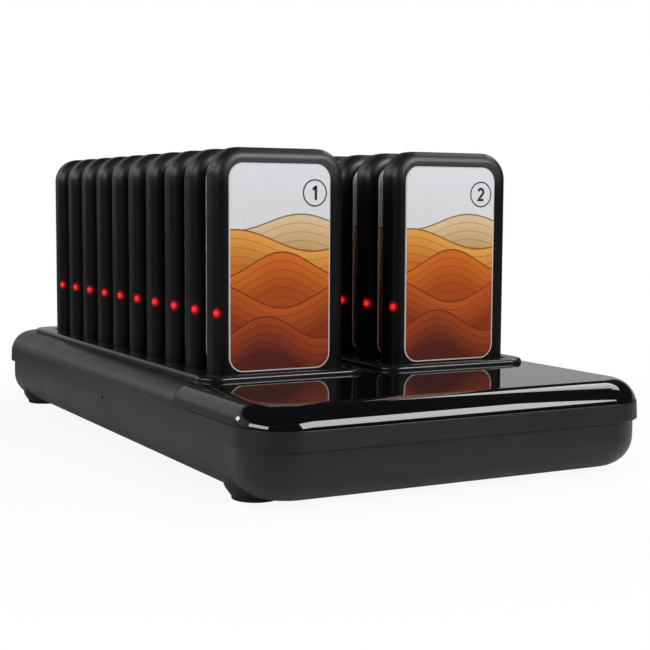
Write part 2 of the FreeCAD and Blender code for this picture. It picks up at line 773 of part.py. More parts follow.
def upper_pieces():
    inner = dome("panel_inside", "inner_width", "inner_depth", "inner_corner", "inner_rise",
                 "inner_radius", "inner_level")
    outer = dome("panel_outside", "dome_width", "dome_depth", "dome_corner", "dome_rise",
                 "shoulder_radius", "deck_level")
    space = panel_zone("panel_space", "panel_back", "crease_level", "tray_width", "tray_depth",
                       "tray_corner")
    piece = panel_zone("panel_form", "panel_piece_back", "panel_piece_foot", "tray_cut_width",
                       "tray_cut_depth", "tray_cut_corner")
    relief = merge("Cut", "panel_relief", space, inner)
    node(merge("Cut", "upper_case", upper_shell(), relief), "upper_case")
    skin = merge("Common", "panel_skin", outer, piece)
    node(merge("Cut", "touch_panel", skin, inner), "touch_panel")


def slot_tray(name, across):
    part = body(name)
    flange = pad(part, rounded(part, name + "_flange", "deck_level", "tray_width", "tray_depth",
                               "tray_corner", across, "tray_middle", count=TRAY_STEPS), "tray_rise",
                 name + "_plateau")
    top = number("tray_level")
    soften(part, flange, "tray_round", name + "_edge", lambda b: flat_at(b, top))
    pad(part, rounded(part, name + "_trough", "trough_foot", "trough_width", "trough_depth",
                      "trough_corner", across, "trough_middle"), "trough_rise", name + "_well")
    slot = rounded(part, name + "_slot", "tray_level", "slot_width", "slot_depth", "slot_cut", across,
                   "blade_middle")
    cut = pocket(part, slot, "slot_drop", name + "_slot_cut")
    slits = slit_sketch(part, name + "_slits", across)
    through = pocket(part, slits, "slit_drop", name + "_slit_cut")
    repeat(part, [cut, through], "Y_Axis", "row_span", ROWS, name + "_rows")
    return node(part, name)


def slit_sketch(part, name, across):
    draft = loops(part, name, "XY_Plane", "pager_foot",
                  [box_outline("slit_left", "slit_right", "slit_front", "slit_back"),
                   box_outline("-slit_right", "-slit_left", "slit_front", "slit_back")])
    drive(draft, "AttachmentOffset.Base.x", across)
    return draft


def boards():
    part = body("charging_board")
    pad(part, rounded(part, "ChargingOutline", "board_level", "board_width", "board_depth",
                      "board_corner", "", "board_middle"), "board_thickness", "ChargingSheet")
    node(part, "charging_board")
    control = body("control_board")
    pad(control, rounded(control, "ControlOutline", "control_level", "control_width", "control_depth",
                         "control_corner", "", "control_middle"), "control_thickness", "ControlSheet")
    pad(control, rounded(control, "CanOutline", "can_level", "can_width", "can_depth",
                         "control_corner", "", "control_middle"), "can_rise", "RadioCan")
    node(control, "control_board")


def contacts():
    blades = []
    for side, column in (("left", "-"), ("right", "")):
        for end in (-1, 1):
            for row in range(ROWS):
                blade = doc.addObject("Part::Box", "blade_%s_%d_%d" % (side, end + 1, row))
                blade.setExpression("Length", "dims.blade_right - dims.blade_left")
                blade.setExpression("Width", "dims.blade_back - dims.blade_front")
                drive(blade, "Height", "blade_rise")
                middle = column + "dims.column_share"
                edge = "dims.blade_left" if end > 0 else "-dims.blade_right"
                blade.setExpression("Placement.Base.x", middle + (" + " if end > 0 else " ") + edge)
                blade.setExpression("Placement.Base.y", "dims.blade_front + dims.row_pitch * %d" % row)
                drive(blade, "Placement.Base.z", "board_top")
                blades.append(blade)
    node(group("charging_contacts", blades), "charging_contacts")


def antenna():
    part = body("antenna")
    path = [("wire_left", "wire_front"), ("wire_right", "wire_front"), ("wire_right", "wire_bend"),
            ("wire_turn", "wire_bend"), ("wire_turn", "wire_end"), ("wire_left", "wire_end")]
    pad(part, loops(part, "WirePath", "XY_Plane", "wire_level", [path]), "wire", "Wire")
    leg = [box_outline("wire_leg", "wire_right", "wire_front", "wire_bend")]
    pad(part, loops(part, "WireLeg", "XY_Plane", "wire_top", leg), "wire_leg_rise", "Leg")
    node(part, "antenna")


def dc_jack():
    part = body("dc_jack")
    block = [box_outline("jack_left", "jack_right", "jack_foot", "jack_top")]
    pad(part, loops(part, "JackBlock", "XZ_Plane", "-jack_back", block), "jack_length", "JackBody",
        backward=True)
    spot = [("jack_x", "port_level")]
    pad(part, circles(part, "NoseOutline", "-bay_inner", "nose_radius", spot, "XZ_Plane"), "nose_length",
        "Nose", backward=True)
    pocket(part, circles(part, "BoreOutline", "-bore_end", "bore_radius", spot, "XZ_Plane"),
           "bore_depth", "Bore")
    pad(part, circles(part, "PinOutline", "-bore_end", "pin_radius", spot, "XZ_Plane"), "pin_length",
        "Pin", backward=True)
    node(part, "dc_jack")


def power_switch():
    part = body("power_switch_frame")
    gate = [box_outline("switch_left", "switch_right", "switch_foot", "switch_top")]
    pad(part, loops(part, "FrameOutline", "XZ_Plane", "-switch_back", gate), "switch_depth",
        "FrameBody", backward=True)
    bezel = [box_outline("bezel_left", "bezel_right", "bezel_foot", "bezel_top")]
    pad(part, loops(part, "BezelOutline", "XZ_Plane", "-bay_face", bezel), "bezel_thickness",
        "Bezel", backward=True)
    well = [box_outline("well_left", "well_right", "well_foot", "well_top")]
    pocket(part, loops(part, "WellOutline", "XZ_Plane", "-bezel_face", well), "well_depth", "Well", True)
    pocket(part, circles(part, "PivotOutline", "pivot_hole_foot", "pivot_hole", [("switch_x", "pivot_y")]),
           "pivot_hole_length", "PivotHoles", True)
    node(part, "power_switch_frame")


def power_rocker():
    """Rocker at rest with one end pressed, about its own pivot."""
    part = body("power_rocker")
    corners = [("-rocker_half", "rocker_rim"), ("-rocker_half", "rocker_cheek"),
               ("-rocker_keel_half", "-rocker_keel"), ("rocker_keel_half", "-rocker_keel"),
               ("rocker_half", "rocker_cheek"), ("rocker_half", "rocker_rim"), ("", "rocker_dip")]
    pad(part, loops(part, "RockerOutline", "XY_Plane", "rocker_foot", [corners]), "rocker_length",
        "Rocker")
    pad(part, circles(part, "PivotPins", "pivot_foot", "pivot_radius", [("", "")]), "pivot_length",
        "Pins")
    part.Placement = FreeCAD.Placement(point(0, 0), FreeCAD.Rotation(FreeCAD.Vector(0, 0, 1),
                                                                     -number("rocker_tilt")))
    drive(part, "Placement.Base.x", "switch_x")
    drive(part, "Placement.Base.y", "pivot_y")
    node(part, "power_rocker")


def feet_and_screws():
    feet = []
    screws = []
    for i, (x, y) in enumerate(four("foot_x", "foot_y")):
        feet.append(prism("foot_%d" % i, FOOT_SIDES, "foot_radius", "foot_top", x, y, ""))
    for i, (x, y) in enumerate(four("screw_x", "screw_y")):
        head = prism("head_%d" % i, 8, "head_radius", "head_rise", x, y, "head_foot")
        shank = prism("shank_%d" % i, 8, "shank_radius", "shank_rise", x, y, "head_foot")
        screws.append(merge("Fuse", "screw_%d" % i, head, shank))
    node(group("rubber_feet", feet), "rubber_feet")
    node(group("case_screws", screws), "case_screws")


def prism(name, sides, radius, length, x, y, z):
    item = doc.addObject("Part::Prism", name)
    item.Polygon = sides
    drive(item, "Circumradius", radius)
    drive(item, "Height", length)
    drive(item, "Placement.Base.x", x)
    drive(item, "Placement.Base.y", y)
    drive(item, "Placement.Base.z", z)
    return item


def upright(part, name, level, inset):
    """Pager outline set in by an amount: round top corners, cut bottom corners."""
    share, alias = inset
    spots = []
    for quarter, side in ((0, 1), (1, -1)):
        for step in range(PAGER_STEPS + 1):
            c, d = turned(quarter, PAGER_STEPS, step)
            spots.append(([(side / 2, "pager_width"), (c - side, "pager_top_corner"), (-c * share, alias)],
                          [(1, "pager_rise"), (d - 1, "pager_top_corner"), (-d * share, alias)]))
    lean = math.tan(math.pi / 8)
    for side, low in ((-1, False), (-1, True), (1, True), (1, False)):
        if low:
            spots.append(([(side / 2, "pager_width"), (-side, "pager_cut"), (-side * lean * share, alias)],
                          [(share, alias)]))
        else:
            spots.append(([(side / 2, "pager_width"), (-side * share, alias)],
                          [(1, "pager_cut"), (lean * share, alias)]))
    return loops(part, name, "XZ_Plane", level, [spots])


def pager_form():
    """Whole pager case, its front face on the origin's plane."""
    part = body("pager_form")
    slab = pad(part, upright(part, "CaseOutline", "", (0, "pager_edge")), "pager_thickness", "CaseSlab",
               backward=True)
    back = number("pager_thickness")
    turn = WIDE_SHARE * number("pager_edge")
    rims = soften(part, slab, [(WIDE_SHARE, "pager_edge")], "CaseEdges",
                  lambda b: b.YMax < 0.01 or b.YMin > back - 0.01)
    soften(part, rims, [(NARROW_SHARE, "pager_edge")], "CaseRounds",
           lambda b: any(abs(b.YMin - y) < 0.01 and abs(b.YMax - y) < 0.01
                         for y in (0, turn, back - turn, back)))
    return part


def pager_room():
    part = body("pager_room")
    pad(part, upright(part, "WideRoomOutline", "-shell_step", (1, "shell_wall")), "wide_room_depth",
        "WideRoom", backward=True)
    pad(part, upright(part, "DeepRoomOutline", "-shell_skin", (1, "shell_rim")), "deep_room_depth",
        "DeepRoom", backward=True)
    return part


def block(name, left, front, foot, length, width, height):
    item = doc.addObject("Part::Box", name)
    for path, alias in (("Placement.Base.x", left), ("Placement.Base.y", front),
                        ("Placement.Base.z", foot), ("Length", length), ("Width", width),
                        ("Height", height)):
        drive(item, path, alias)
    return item


def placed(item, name, column, row):
    """Node at a slot of one column; the item itself is drawn about the origin."""
    copy = doc.addObject("Part::Compound", name)
    copy.Links = [item]
    copy.setExpression("Placement.Base.x", column + "dims.column_share")
    copy.setExpression("Placement.Base.y", "dims.first_face + dims.row_pitch * %d" % row)
    copy.setExpression("Placement.Base.z", "dims.pager_foot")
    return node(copy, name)


def pager_label():
    part = body("label_form")
    plate = rounded(part, "LabelOutline", "", "label_width", "label_height", "label_corner",
                    "label_shift", "label_middle", "XZ_Plane", LABEL_STEPS)
    pad(part, plate, "label_proud", "LabelPlate")
    return part


def flat_piece(name, level, wide, tall, corner, middle, thickness):
    """Flat rounded sheet inside the pager, standing upright."""
    part = body(name)
    sheet_outline = rounded(part, name + "_outline", level, wide, tall, corner, "", middle, "XZ_Plane")
    pad(part, sheet_outline, thickness, name + "_sheet", backward=True)
    return part


def first_pager(form, label):
    """Pager one, in all its pieces."""
    room = pager_room()
    lens = doc.addObject("Part::Cylinder", "lens_form")
    drive(lens, "Radius", "lens_radius")
    drive(lens, "Height", "lens_length")
    turn = FreeCAD.Rotation(FreeCAD.Vector(0, 0, 1), -number("lens_turn"))
    outward = turn.multVec(FreeCAD.Vector(0, -1, 0))
    lens.Placement = FreeCAD.Placement(point(0, 0), FreeCAD.Rotation(FreeCAD.Vector(0, 0, 1), outward))
    drive(lens, "Placement.Base.x", "lens_x")
    drive(lens, "Placement.Base.y", "lens_y")
    drive(lens, "Placement.Base.z", "lens_level")
    plates = []
    for side, left in (("left", "-plate_right"), ("right", "plate_left")):
        plate = block("plate_" + side, left, "plate_front", "", "", "", "shell_wall")
        plate.setExpression("Length", "dims.plate_right - dims.plate_left")
        plate.setExpression("Width", "dims.plate_back - dims.plate_front")
        plates.append(plate)
    pair = group("plate_pair", plates)
    front = merge("Common", "front_solid", form,
                  block("front_half", "half_left", "-overrun", "half_low", "half_reach", "front_slab",
                        "half_tall"))
    rear = merge("Common", "rear_solid", form,
                 block("rear_half", "half_left", "pager_parting", "half_low", "half_reach",
                       "pager_thickness", "half_tall"))
    front = merge("Cut", "front_hollow", front, room)
    rear = merge("Cut", "rear_hollow", rear, room)
    motor = body("motor_form")
    pad(motor, circles(motor, "MotorOutline", "-circuit_back", "motor_radius",
                       [("motor_x", "motor_level")], "XZ_Plane"), "motor_thickness", "Motor", backward=True)
    circuit = flat_piece("circuit_form", "-shell_step", "circuit_width", "circuit_height",
                         "circuit_corner", "circuit_middle", "circuit_thickness")
    battery = flat_piece("battery_form", "-circuit_back", "battery_width", "battery_height",
                         "battery_corner", "battery_middle", "battery_thickness")
    for item, name in ((merge("Cut", "front_drilled", front, lens), "front_shell"),
                       (merge("Cut", "rear_slotted", rear, pair), "rear_shell"), (label, "label"),
                       (circuit, "circuit_board"), (battery, "battery"), (motor, "vibration_motor"),
                       (lens, "light_lens"), (pair, "charge_plates")):
        placed(item, "pager_01_" + name, "-", 0)


def pagers():
    form = pager_form()
    label = pager_label()
    first_pager(form, label)
    for number_of_pager in range(2, 2 * ROWS + 1):
        column = "-" if number_of_pager % 2 else ""
        row = (number_of_pager - 1) // 2
        placed(form, "pager_%02d_case" % number_of_pager, column, row)
        placed(label, "pager_%02d_label" % number_of_pager, column, row)


def check_and_export():
    doc.recompute()
    for item in doc.Objects:
        if "Invalid" in item.State or "Error" in item.State:
            raise ValueError("%s: %s" % (item.Name, item.State))
    os.makedirs("parts", exist_ok=True)
    for item in NODES:
        shape = item.Shape
        if shape.isNull() or not shape.isValid() or not shape.Solids:
            raise ValueError("bad shape: " + item.Label)
        shape.exportStep("parts/%s.step" % item.Label)
        print(item.Label, len(shape.Solids), round(shape.Volume), shape.BoundBox)


case = lower_case()
lower_cuts(case)
node(case, "lower_case")
upper_pieces()
slot_tray("slot_tray_left", "-column_share")
slot_tray("slot_tray_right", "column_share")
boards()
contacts()
antenna()
dc_jack()
power_switch()
power_rocker()
feet_and_screws()
pagers()
check_and_export()
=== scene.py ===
import math

import bmesh
import bpy
from mathutils import Matrix, Vector


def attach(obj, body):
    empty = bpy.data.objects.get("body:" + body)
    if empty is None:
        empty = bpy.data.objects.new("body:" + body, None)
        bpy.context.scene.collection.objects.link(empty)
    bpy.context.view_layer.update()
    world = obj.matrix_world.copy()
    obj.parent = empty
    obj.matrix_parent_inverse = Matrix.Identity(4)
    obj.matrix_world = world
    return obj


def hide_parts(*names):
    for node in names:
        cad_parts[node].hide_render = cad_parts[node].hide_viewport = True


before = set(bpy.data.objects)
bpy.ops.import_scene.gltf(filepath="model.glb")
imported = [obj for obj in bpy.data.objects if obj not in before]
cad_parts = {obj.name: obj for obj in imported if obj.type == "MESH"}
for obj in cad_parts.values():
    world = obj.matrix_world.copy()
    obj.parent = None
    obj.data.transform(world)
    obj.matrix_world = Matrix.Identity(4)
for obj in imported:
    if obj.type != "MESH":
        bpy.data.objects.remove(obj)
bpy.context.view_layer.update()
bpy.context.scene.view_settings.view_transform = "Standard"
MM = 0.001

# Sizes of the real object in millimetres. BASE, TRAY and LABEL are width, length, corner radius,
# and PAGER is width, thickness, height
BASE = (185.6, 339.0, 23.0)
BASE_FOOT, LIP, CREASE, DECK, TRAY_TOP = 2.2, 22.6, 30.1, 38.8, 40.9
SKIRT_LEAN, DOME_INSET, SHOULDER = 0.4, 0.5, 10.7
PANEL = 2.4
PANEL_BACK = -88.65
COLUMN, ROW_PITCH, FIRST_FACE = 42.2, 23.16, -88.3
PAGER = (60.0, 14.0, 104.0)
PAGER_FOOT = 29.9
LABEL = (46.8, 86.0, 6.5)
LABEL_THICK = 0.55
LABEL_SHIFT, LABEL_MIDDLE = -1.28, 54.5
TRAY = (77.2, 246.0, 10.0)
TRAY_MIDDLE = 27.0
LENS_SPOT = (-29.23, 2.19, 36.1)
FOOT_SPOT, SCREW_SPOT = (76.5, 137.0), (72.0, 149.0)
SWITCH_SPOT, SWITCH_TILT = (50.0, 159.9, 13.0), -10.0
ROWS = 10

# Fineness of the meshes: steps per round corner, metres, degrees
FINE = 16
MERGE = 0.000002
FLAT = 0.2
SHARP, SHARP_ROUND, SHARP_LABEL = 32.0, 50.0, 40.0


# Meshes

def outline(wide, deep, corner, x=0.0, y=0.0, steps=FINE):
    """Points of a rounded rectangle, the same number for every size."""
    points = []
    for quarter, (sx, sy) in enumerate(((1, 1), (-1, 1), (-1, -1), (1, -1))):
        for step in range(steps + 1):
            angle = math.pi / 2 * (quarter + step / steps)
            points.append((x + sx * (wide / 2 - corner) + corner * math.cos(angle),
                           y + sy * (deep / 2 - corner) + corner * math.sin(angle)))
    return points


def layers(profile, wide, deep, corner, x=0.0, y=0.0, steps=FINE):
    """Level loops of one outline, set in by an amount at each level."""
    least = 0.2
    return [[(px, py, z) for px, py in outline(wide - 2 * inset, deep - 2 * inset,
                                                max(corner - inset, least), x, y, steps)]
            for z, inset in profile]


def disc(radius, x, y, z, steps=32):
    """Level loop of a circle."""
    return [(x + radius * math.cos(2 * math.pi * i / steps),
             y + radius * math.sin(2 * math.pi * i / steps), z) for i in range(steps)]


def box_loops(low, high):
    (x0, y0, z0), (x1, y1, z1) = low, high
    corners = [(x0, y0), (x1, y0), (x1, y1), (x0, y1)]
    return [[(x, y, z) for x, y in corners] for z in (z0, z1)]


def arc(radius, count, low=0.0, high=90.0):
    """Rise and inset along a quarter round that starts upright."""
    for step in range(count + 1):
        angle = math.radians(low + (high - low) * step / count)
        yield radius * math.sin(angle), radius * (1 - math.cos(angle))


def skin(bm, loops, caps=True):
    """Faces between loops of equal length, with or without ends."""
    rings = [[bm.verts.new(Vector(p) * MM) for p in loop] for loop in loops]
    count = len(rings[0])
    for low, high in zip(rings, rings[1:]):
        for i in range(count):
            j = (i + 1) % count
            bm.faces.new((low[i], low[j], high[j], high[i]))
    if caps:
        bm.faces.new(list(reversed(rings[0])))
        bm.faces.new(rings[-1])
    return rings


def piece(name, bm):
    bmesh.ops.recalc_face_normals(bm, faces=bm.faces)
    mesh = bpy.data.meshes.new(name)
    bm.to_mesh(mesh)
    bm.free()
    obj = bpy.data.objects.new(name, mesh)
    bpy.context.scene.collection.objects.link(obj)
    return obj


def solid(name, *stacks):
    """One object of closed lofts."""
    bm = bmesh.new()
    for loops in stacks:
        skin(bm, loops)
    return piece(name, bm)


def baked(obj):
    """Replaces an object's mesh by what its modifiers give."""
    depsgraph = bpy.context.evaluated_depsgraph_get()
    mesh = bpy.data.meshes.new_from_object(obj.evaluated_get(depsgraph))
    obj.modifiers.clear()
    obj.data = mesh


def carve(obj, tool, operation="DIFFERENCE"):
    """Cuts, joins or crosses an object with a tool, which is used up."""
    modifier = obj.modifiers.new("carve", "BOOLEAN")
    modifier.operation = operation
    modifier.solver = "EXACT"
    modifier.object = tool
    baked(obj)
    bpy.data.objects.remove(tool)


def round_edges(obj, edge, angle):
    bevel = obj.modifiers.new("edges", "BEVEL")
    bevel.width = edge * MM
    bevel.segments = 2
    bevel.limit_method = "ANGLE"
    bevel.angle_limit = math.radians(angle)
    bevel.harden_normals = True


def even_normals(obj):
    obj.modifiers.new("normals", "WEIGHTED_NORMAL").keep_sharp = True


def smooth(obj, angle=SHARP, edge=0.0, clean=True):
    """Smooth shading with crisp edges, and a small round on them where an edge is given."""
    if clean:
        bm = bmesh.new()
        bm.from_mesh(obj.data)
        bmesh.ops.remove_doubles(bm, verts=bm.verts, dist=MERGE)
        bmesh.ops.dissolve_degenerate(bm, edges=bm.edges, dist=MERGE)
        bmesh.ops.dissolve_limit(bm, angle_limit=math.radians(FLAT), verts=bm.verts, edges=bm.edges)
        bm.to_mesh(obj.data)
        bm.free()
    obj.data.shade_smooth()
    if edge:
        round_edges(obj, edge, angle)
        baked(obj)
    obj.data.set_sharp_from_angle(angle=math.radians(angle))
    even_normals(obj)


# Materials

SOFT = "SMOOTHSTEP"


def rgb(*values):
    return (*values, 1.0)


class Graph:
    """Short way to write the nodes of a tree."""

    def __init__(self, tree):
        self.tree = tree

    def put(self, socket, value):
        if isinstance(value, bpy.types.NodeSocket):
            self.tree.links.new(value, socket)
        else:
            socket.default_value = value

    def node(self, kind, values=(), **settings):
        node = self.tree.nodes.new("ShaderNode" + kind)
        for key, value in settings.items():
            setattr(node, key, value)
        for socket, value in zip(node.inputs, values):
            self.put(socket, value)
        return node

    def math(self, kind, *values):
        return self.node("Math", values, operation=kind).outputs[0]

    def ramp(self, value, low, high, start=0.0, end=1.0, kind="LINEAR"):
        """A value from low to high, carried over to start to end."""
        values = (value, low, high, start, end)
        return self.node("MapRange", values, interpolation_type=kind).outputs[0]

    def mix(self, share, a, b, blend="MIX"):
        """Two colours, at the sockets that the node keeps for them."""
        node = self.node("Mix", data_type="RGBA", blend_type=blend)
        for place, value in ((0, share), (6, a), (7, b)):
            self.put(node.inputs[place], value)
        return node.outputs[2]

    def split(self, vector):
        return self.node("SeparateXYZ", (vector,)).outputs

    def grey(self, value):
        return self.node("CombineColor", (value, value, value)).outputs[0]


class Surface(Graph):
    """Nodes of one material; its settings are the shader's own sockets."""

    def __init__(self, name, **settings):
        self.material = bpy.data.materials.new(name)
        self.material.use_nodes = True
        super().__init__(self.material.node_tree)
        self.shader = self.tree.nodes["Principled BSDF"]
        for key, value in settings.items():
            self.shader.inputs[key.replace("_", " ")].default_value = value
        self.place = self.node("TexCoord").outputs["Object"]

    def link(self, name, value):
        self.tree.links.new(value, self.shader.inputs[name])

    def noise(self, scale, detail):
        node = self.node("TexNoise")
        for key, value in (("Vector", self.place), ("Scale", scale), ("Detail", detail)):
            self.put(node.inputs[key], value)
        return node.outputs["Fac"]

    def bump(self, height, depth):
        node = self.node("Bump")
        for key, value in (("Strength", 1.0), ("Distance", depth), ("Height", height)):
            self.put(node.inputs[key], value)
        self.link("Normal", node.outputs["Normal"])

    def drift(self, dark, light):
        """Base colour that wanders slowly between two shades."""
        share = self.ramp(self.noise(22.0, 4.0), 0.35, 0.65)
        self.link("Base Color", self.mix(share, rgb(*dark), rgb(*light)))

    def mottle(self, low, high):
        """Number that wanders between two limits in small spots."""
        return self.ramp(self.noise(60.0, 5.0), 0.3, 0.7, low, high)


def plastic(name, dark, light, rough, grain, depth, **settings):
    """Moulded plastic: fine grain, slight drift of shade and gloss."""
    nodes = Surface(name, **settings)
    nodes.drift(dark, light)
    nodes.link("Roughness", nodes.mottle(*rough))
    nodes.bump(nodes.noise(grain, 2.0), depth)
    return nodes.material


def metal(name, dark, light, rough, scale):
    """Metal with blotches of shade and, half as large, of gloss."""
    nodes = Surface(name, Metallic=1.0)
    share = nodes.ramp(nodes.noise(scale, 4.0), 0.3, 0.7)
    nodes.link("Base Color", nodes.mix(share, rgb(*dark), rgb(*light)))
    nodes.link("Roughness", nodes.ramp(nodes.noise(scale * 2, 3.0), 0.3, 0.7, *rough))
    return nodes.material


# Hills of the label from far to near, in millimetres from its middle:
# level, swing, wave length, phase, colour low down, colour at the crest
HILLS = (
    (19.0, 3.4, 61.0, 0.6, (0.58, 0.34, 0.13), (0.78, 0.59, 0.35)),
    (11.5, 4.6, 73.0, 3.4, (0.58, 0.16, 0.018), (0.84, 0.38, 0.075)),
    (1.5, 5.2, 57.0, 1.5, (0.42, 0.07, 0.008), (0.68, 0.16, 0.015)),
    (-11.0, 5.6, 66.0, 4.6, (0.27, 0.036, 0.007), (0.54, 0.10, 0.010)),
    (-25.0, 5.0, 52.0, 2.4, (0.10, 0.016, 0.010), (0.40, 0.06, 0.009)),
)
HILL_FADE = 15.0
BED_PITCH, BED_PHASE, BED_SHARE, BED_SHADE = 3.7, 1.2, 0.4, 0.3
RIM_FADE, RIM_SHARE, RIM_COLOUR = (0.4, 0.9), 0.7, (0.09, 0.02, 0.01)
# Thin pale band along the label's edge, a painted highlight of its polished edge: fade widths in from
# the corner radius, share, colour
GLINT_FADE, GLINT_SHARE, GLINT_COLOUR = (0.62, 0.5), 0.85, (0.66, 0.64, 0.63)
SKY_LEVELS, SKY_LOW, SKY_HIGH = (5.0, 43.0), (0.75, 0.74, 0.75), (0.80, 0.80, 0.84)


def hill(nodes, across, height, colour, shape):
    """The colour so far, with one hill laid over it."""
    level, swing, length, phase, low, high = shape
    turn = nodes.math("MULTIPLY_ADD", across, 2 * math.pi / length, phase)
    crest = nodes.math("MULTIPLY_ADD", nodes.math("SINE", turn), swing, level)
    below = nodes.math("SUBTRACT", crest, height)
    body = nodes.mix(nodes.ramp(below, 0.0, HILL_FADE), rgb(*high), rgb(*low))
    beds = nodes.math("SINE", nodes.math("MULTIPLY_ADD", below, 2 * math.pi / BED_PITCH, BED_PHASE))
    bed = nodes.math("MULTIPLY", nodes.ramp(beds, 0.86, 1.0, 0.0, 1.0, SOFT), BED_SHARE)
    body = nodes.mix(bed, body, rgb(*(share * BED_SHADE for share in low)))
    rim = nodes.ramp(below, *RIM_FADE, 1.0, 0.0, SOFT)
    body = nodes.mix(nodes.math("MULTIPLY", rim, RIM_SHARE), body, rgb(*RIM_COLOUR))
    return nodes.mix(nodes.ramp(below, -0.12, 0.12, 0.0, 1.0, SOFT), colour, body)


def label_print():
    """Layered hills in warm colours under a pale sky, with a thin pale band along the edge painted on
    as a highlight.
    """
    nodes = Surface("label_print", Roughness=0.32, Specular_IOR_Level=0.22)
    x, _, z = nodes.split(nodes.place)
    across = nodes.math("MULTIPLY", x, 1.0 / MM)
    height = nodes.math("MULTIPLY", z, 1.0 / MM)
    colour = nodes.mix(nodes.ramp(height, *SKY_LEVELS), rgb(*SKY_LOW), rgb(*SKY_HIGH))
    for shape in HILLS:
        colour = hill(nodes, across, height, colour, shape)
    wide, tall, corner = LABEL
    reach = [nodes.math("SUBTRACT", nodes.math("ABSOLUTE", way), size / 2 - corner)
             for way, size in ((across, wide), (height, tall))]
    outer = [nodes.math("POWER", nodes.math("MAXIMUM", item, 0.0), 2.0) for item in reach]
    inner = nodes.math("MINIMUM", nodes.math("MAXIMUM", *reach), 0.0)
    away = nodes.math("ADD", nodes.math("SQRT", nodes.math("ADD", *outer)), inner)
    # Painted highlight along the label's edge
    start, full = (corner - width for width in GLINT_FADE)
    painted_glint = nodes.ramp(away, start, full, 0.0, GLINT_SHARE, SOFT)
    colour = nodes.mix(painted_glint, colour, rgb(*GLINT_COLOUR))
    fibre = nodes.ramp(nodes.noise(900.0, 2.0), 0.3, 0.7, 0.97, 1.0)
    nodes.link("Base Color", nodes.mix(1.0, colour, nodes.grey(fibre), "MULTIPLY"))
    return nodes.material


def lamp_red():
    """Lit lens with a faint mottle."""
    nodes = Surface("lens_red", Roughness=0.3, Specular_IOR_Level=0.2, Emission_Strength=1.05)
    glow = nodes.ramp(nodes.noise(700.0, 1.0), 0.3, 0.7)
    nodes.link("Base Color", nodes.mix(glow, rgb(0.4, 0.004, 0.004), rgb(0.5, 0.008, 0.006)))
    nodes.link("Emission Color", nodes.mix(glow, rgb(1.0, 0.005, 0.009), rgb(1.0, 0.02, 0.01)))
    return nodes.material


# Pager's plastic: heights between which hands have polished it, reach and strength of the lens's glow
POLISHED = (86.0, 99.0)
POLISH_GLOSS, PLAIN_GLOSS, POLISH_ROUGH = 0.53, 0.17, 0.1
GLOW_REACH, GLOW_FALL, GLOW = (0.9, 3.1), 2.2, 0.55


def pager_plastic():
    """Satin black, polished by hands along the top, that glows a little round the lit lens."""
    nodes = Surface("pager_plastic", Emission_Color=rgb(1.0, 0.01, 0.012))
    nodes.drift((0.003, 0.003, 0.0032), (0.0045, 0.0045, 0.0048))
    low, high = (level * MM for level in POLISHED)
    held = nodes.ramp(nodes.split(nodes.place)["Z"], low, high, 0.0, 1.0, SOFT)
    nodes.link("Specular IOR Level", nodes.math("MULTIPLY_ADD", held, POLISH_GLOSS, PLAIN_GLOSS))
    nodes.link("Roughness", nodes.math("MULTIPLY_ADD", held, POLISH_ROUGH, nodes.mottle(0.33, 0.37)))
    nodes.bump(nodes.noise(1500.0, 2.0), 0.000002)
    lens = Vector(LENS_SPOT) * MM
    reach = nodes.node("VectorMath", (nodes.place, lens), operation="DISTANCE").outputs["Value"]
    low, high = (way * MM for way in GLOW_REACH)
    near = nodes.math("POWER", nodes.ramp(reach, low, high, 1.0, 0.0), GLOW_FALL)
    nodes.link("Emission Strength", nodes.math("MULTIPLY", near, GLOW))
    return nodes.material


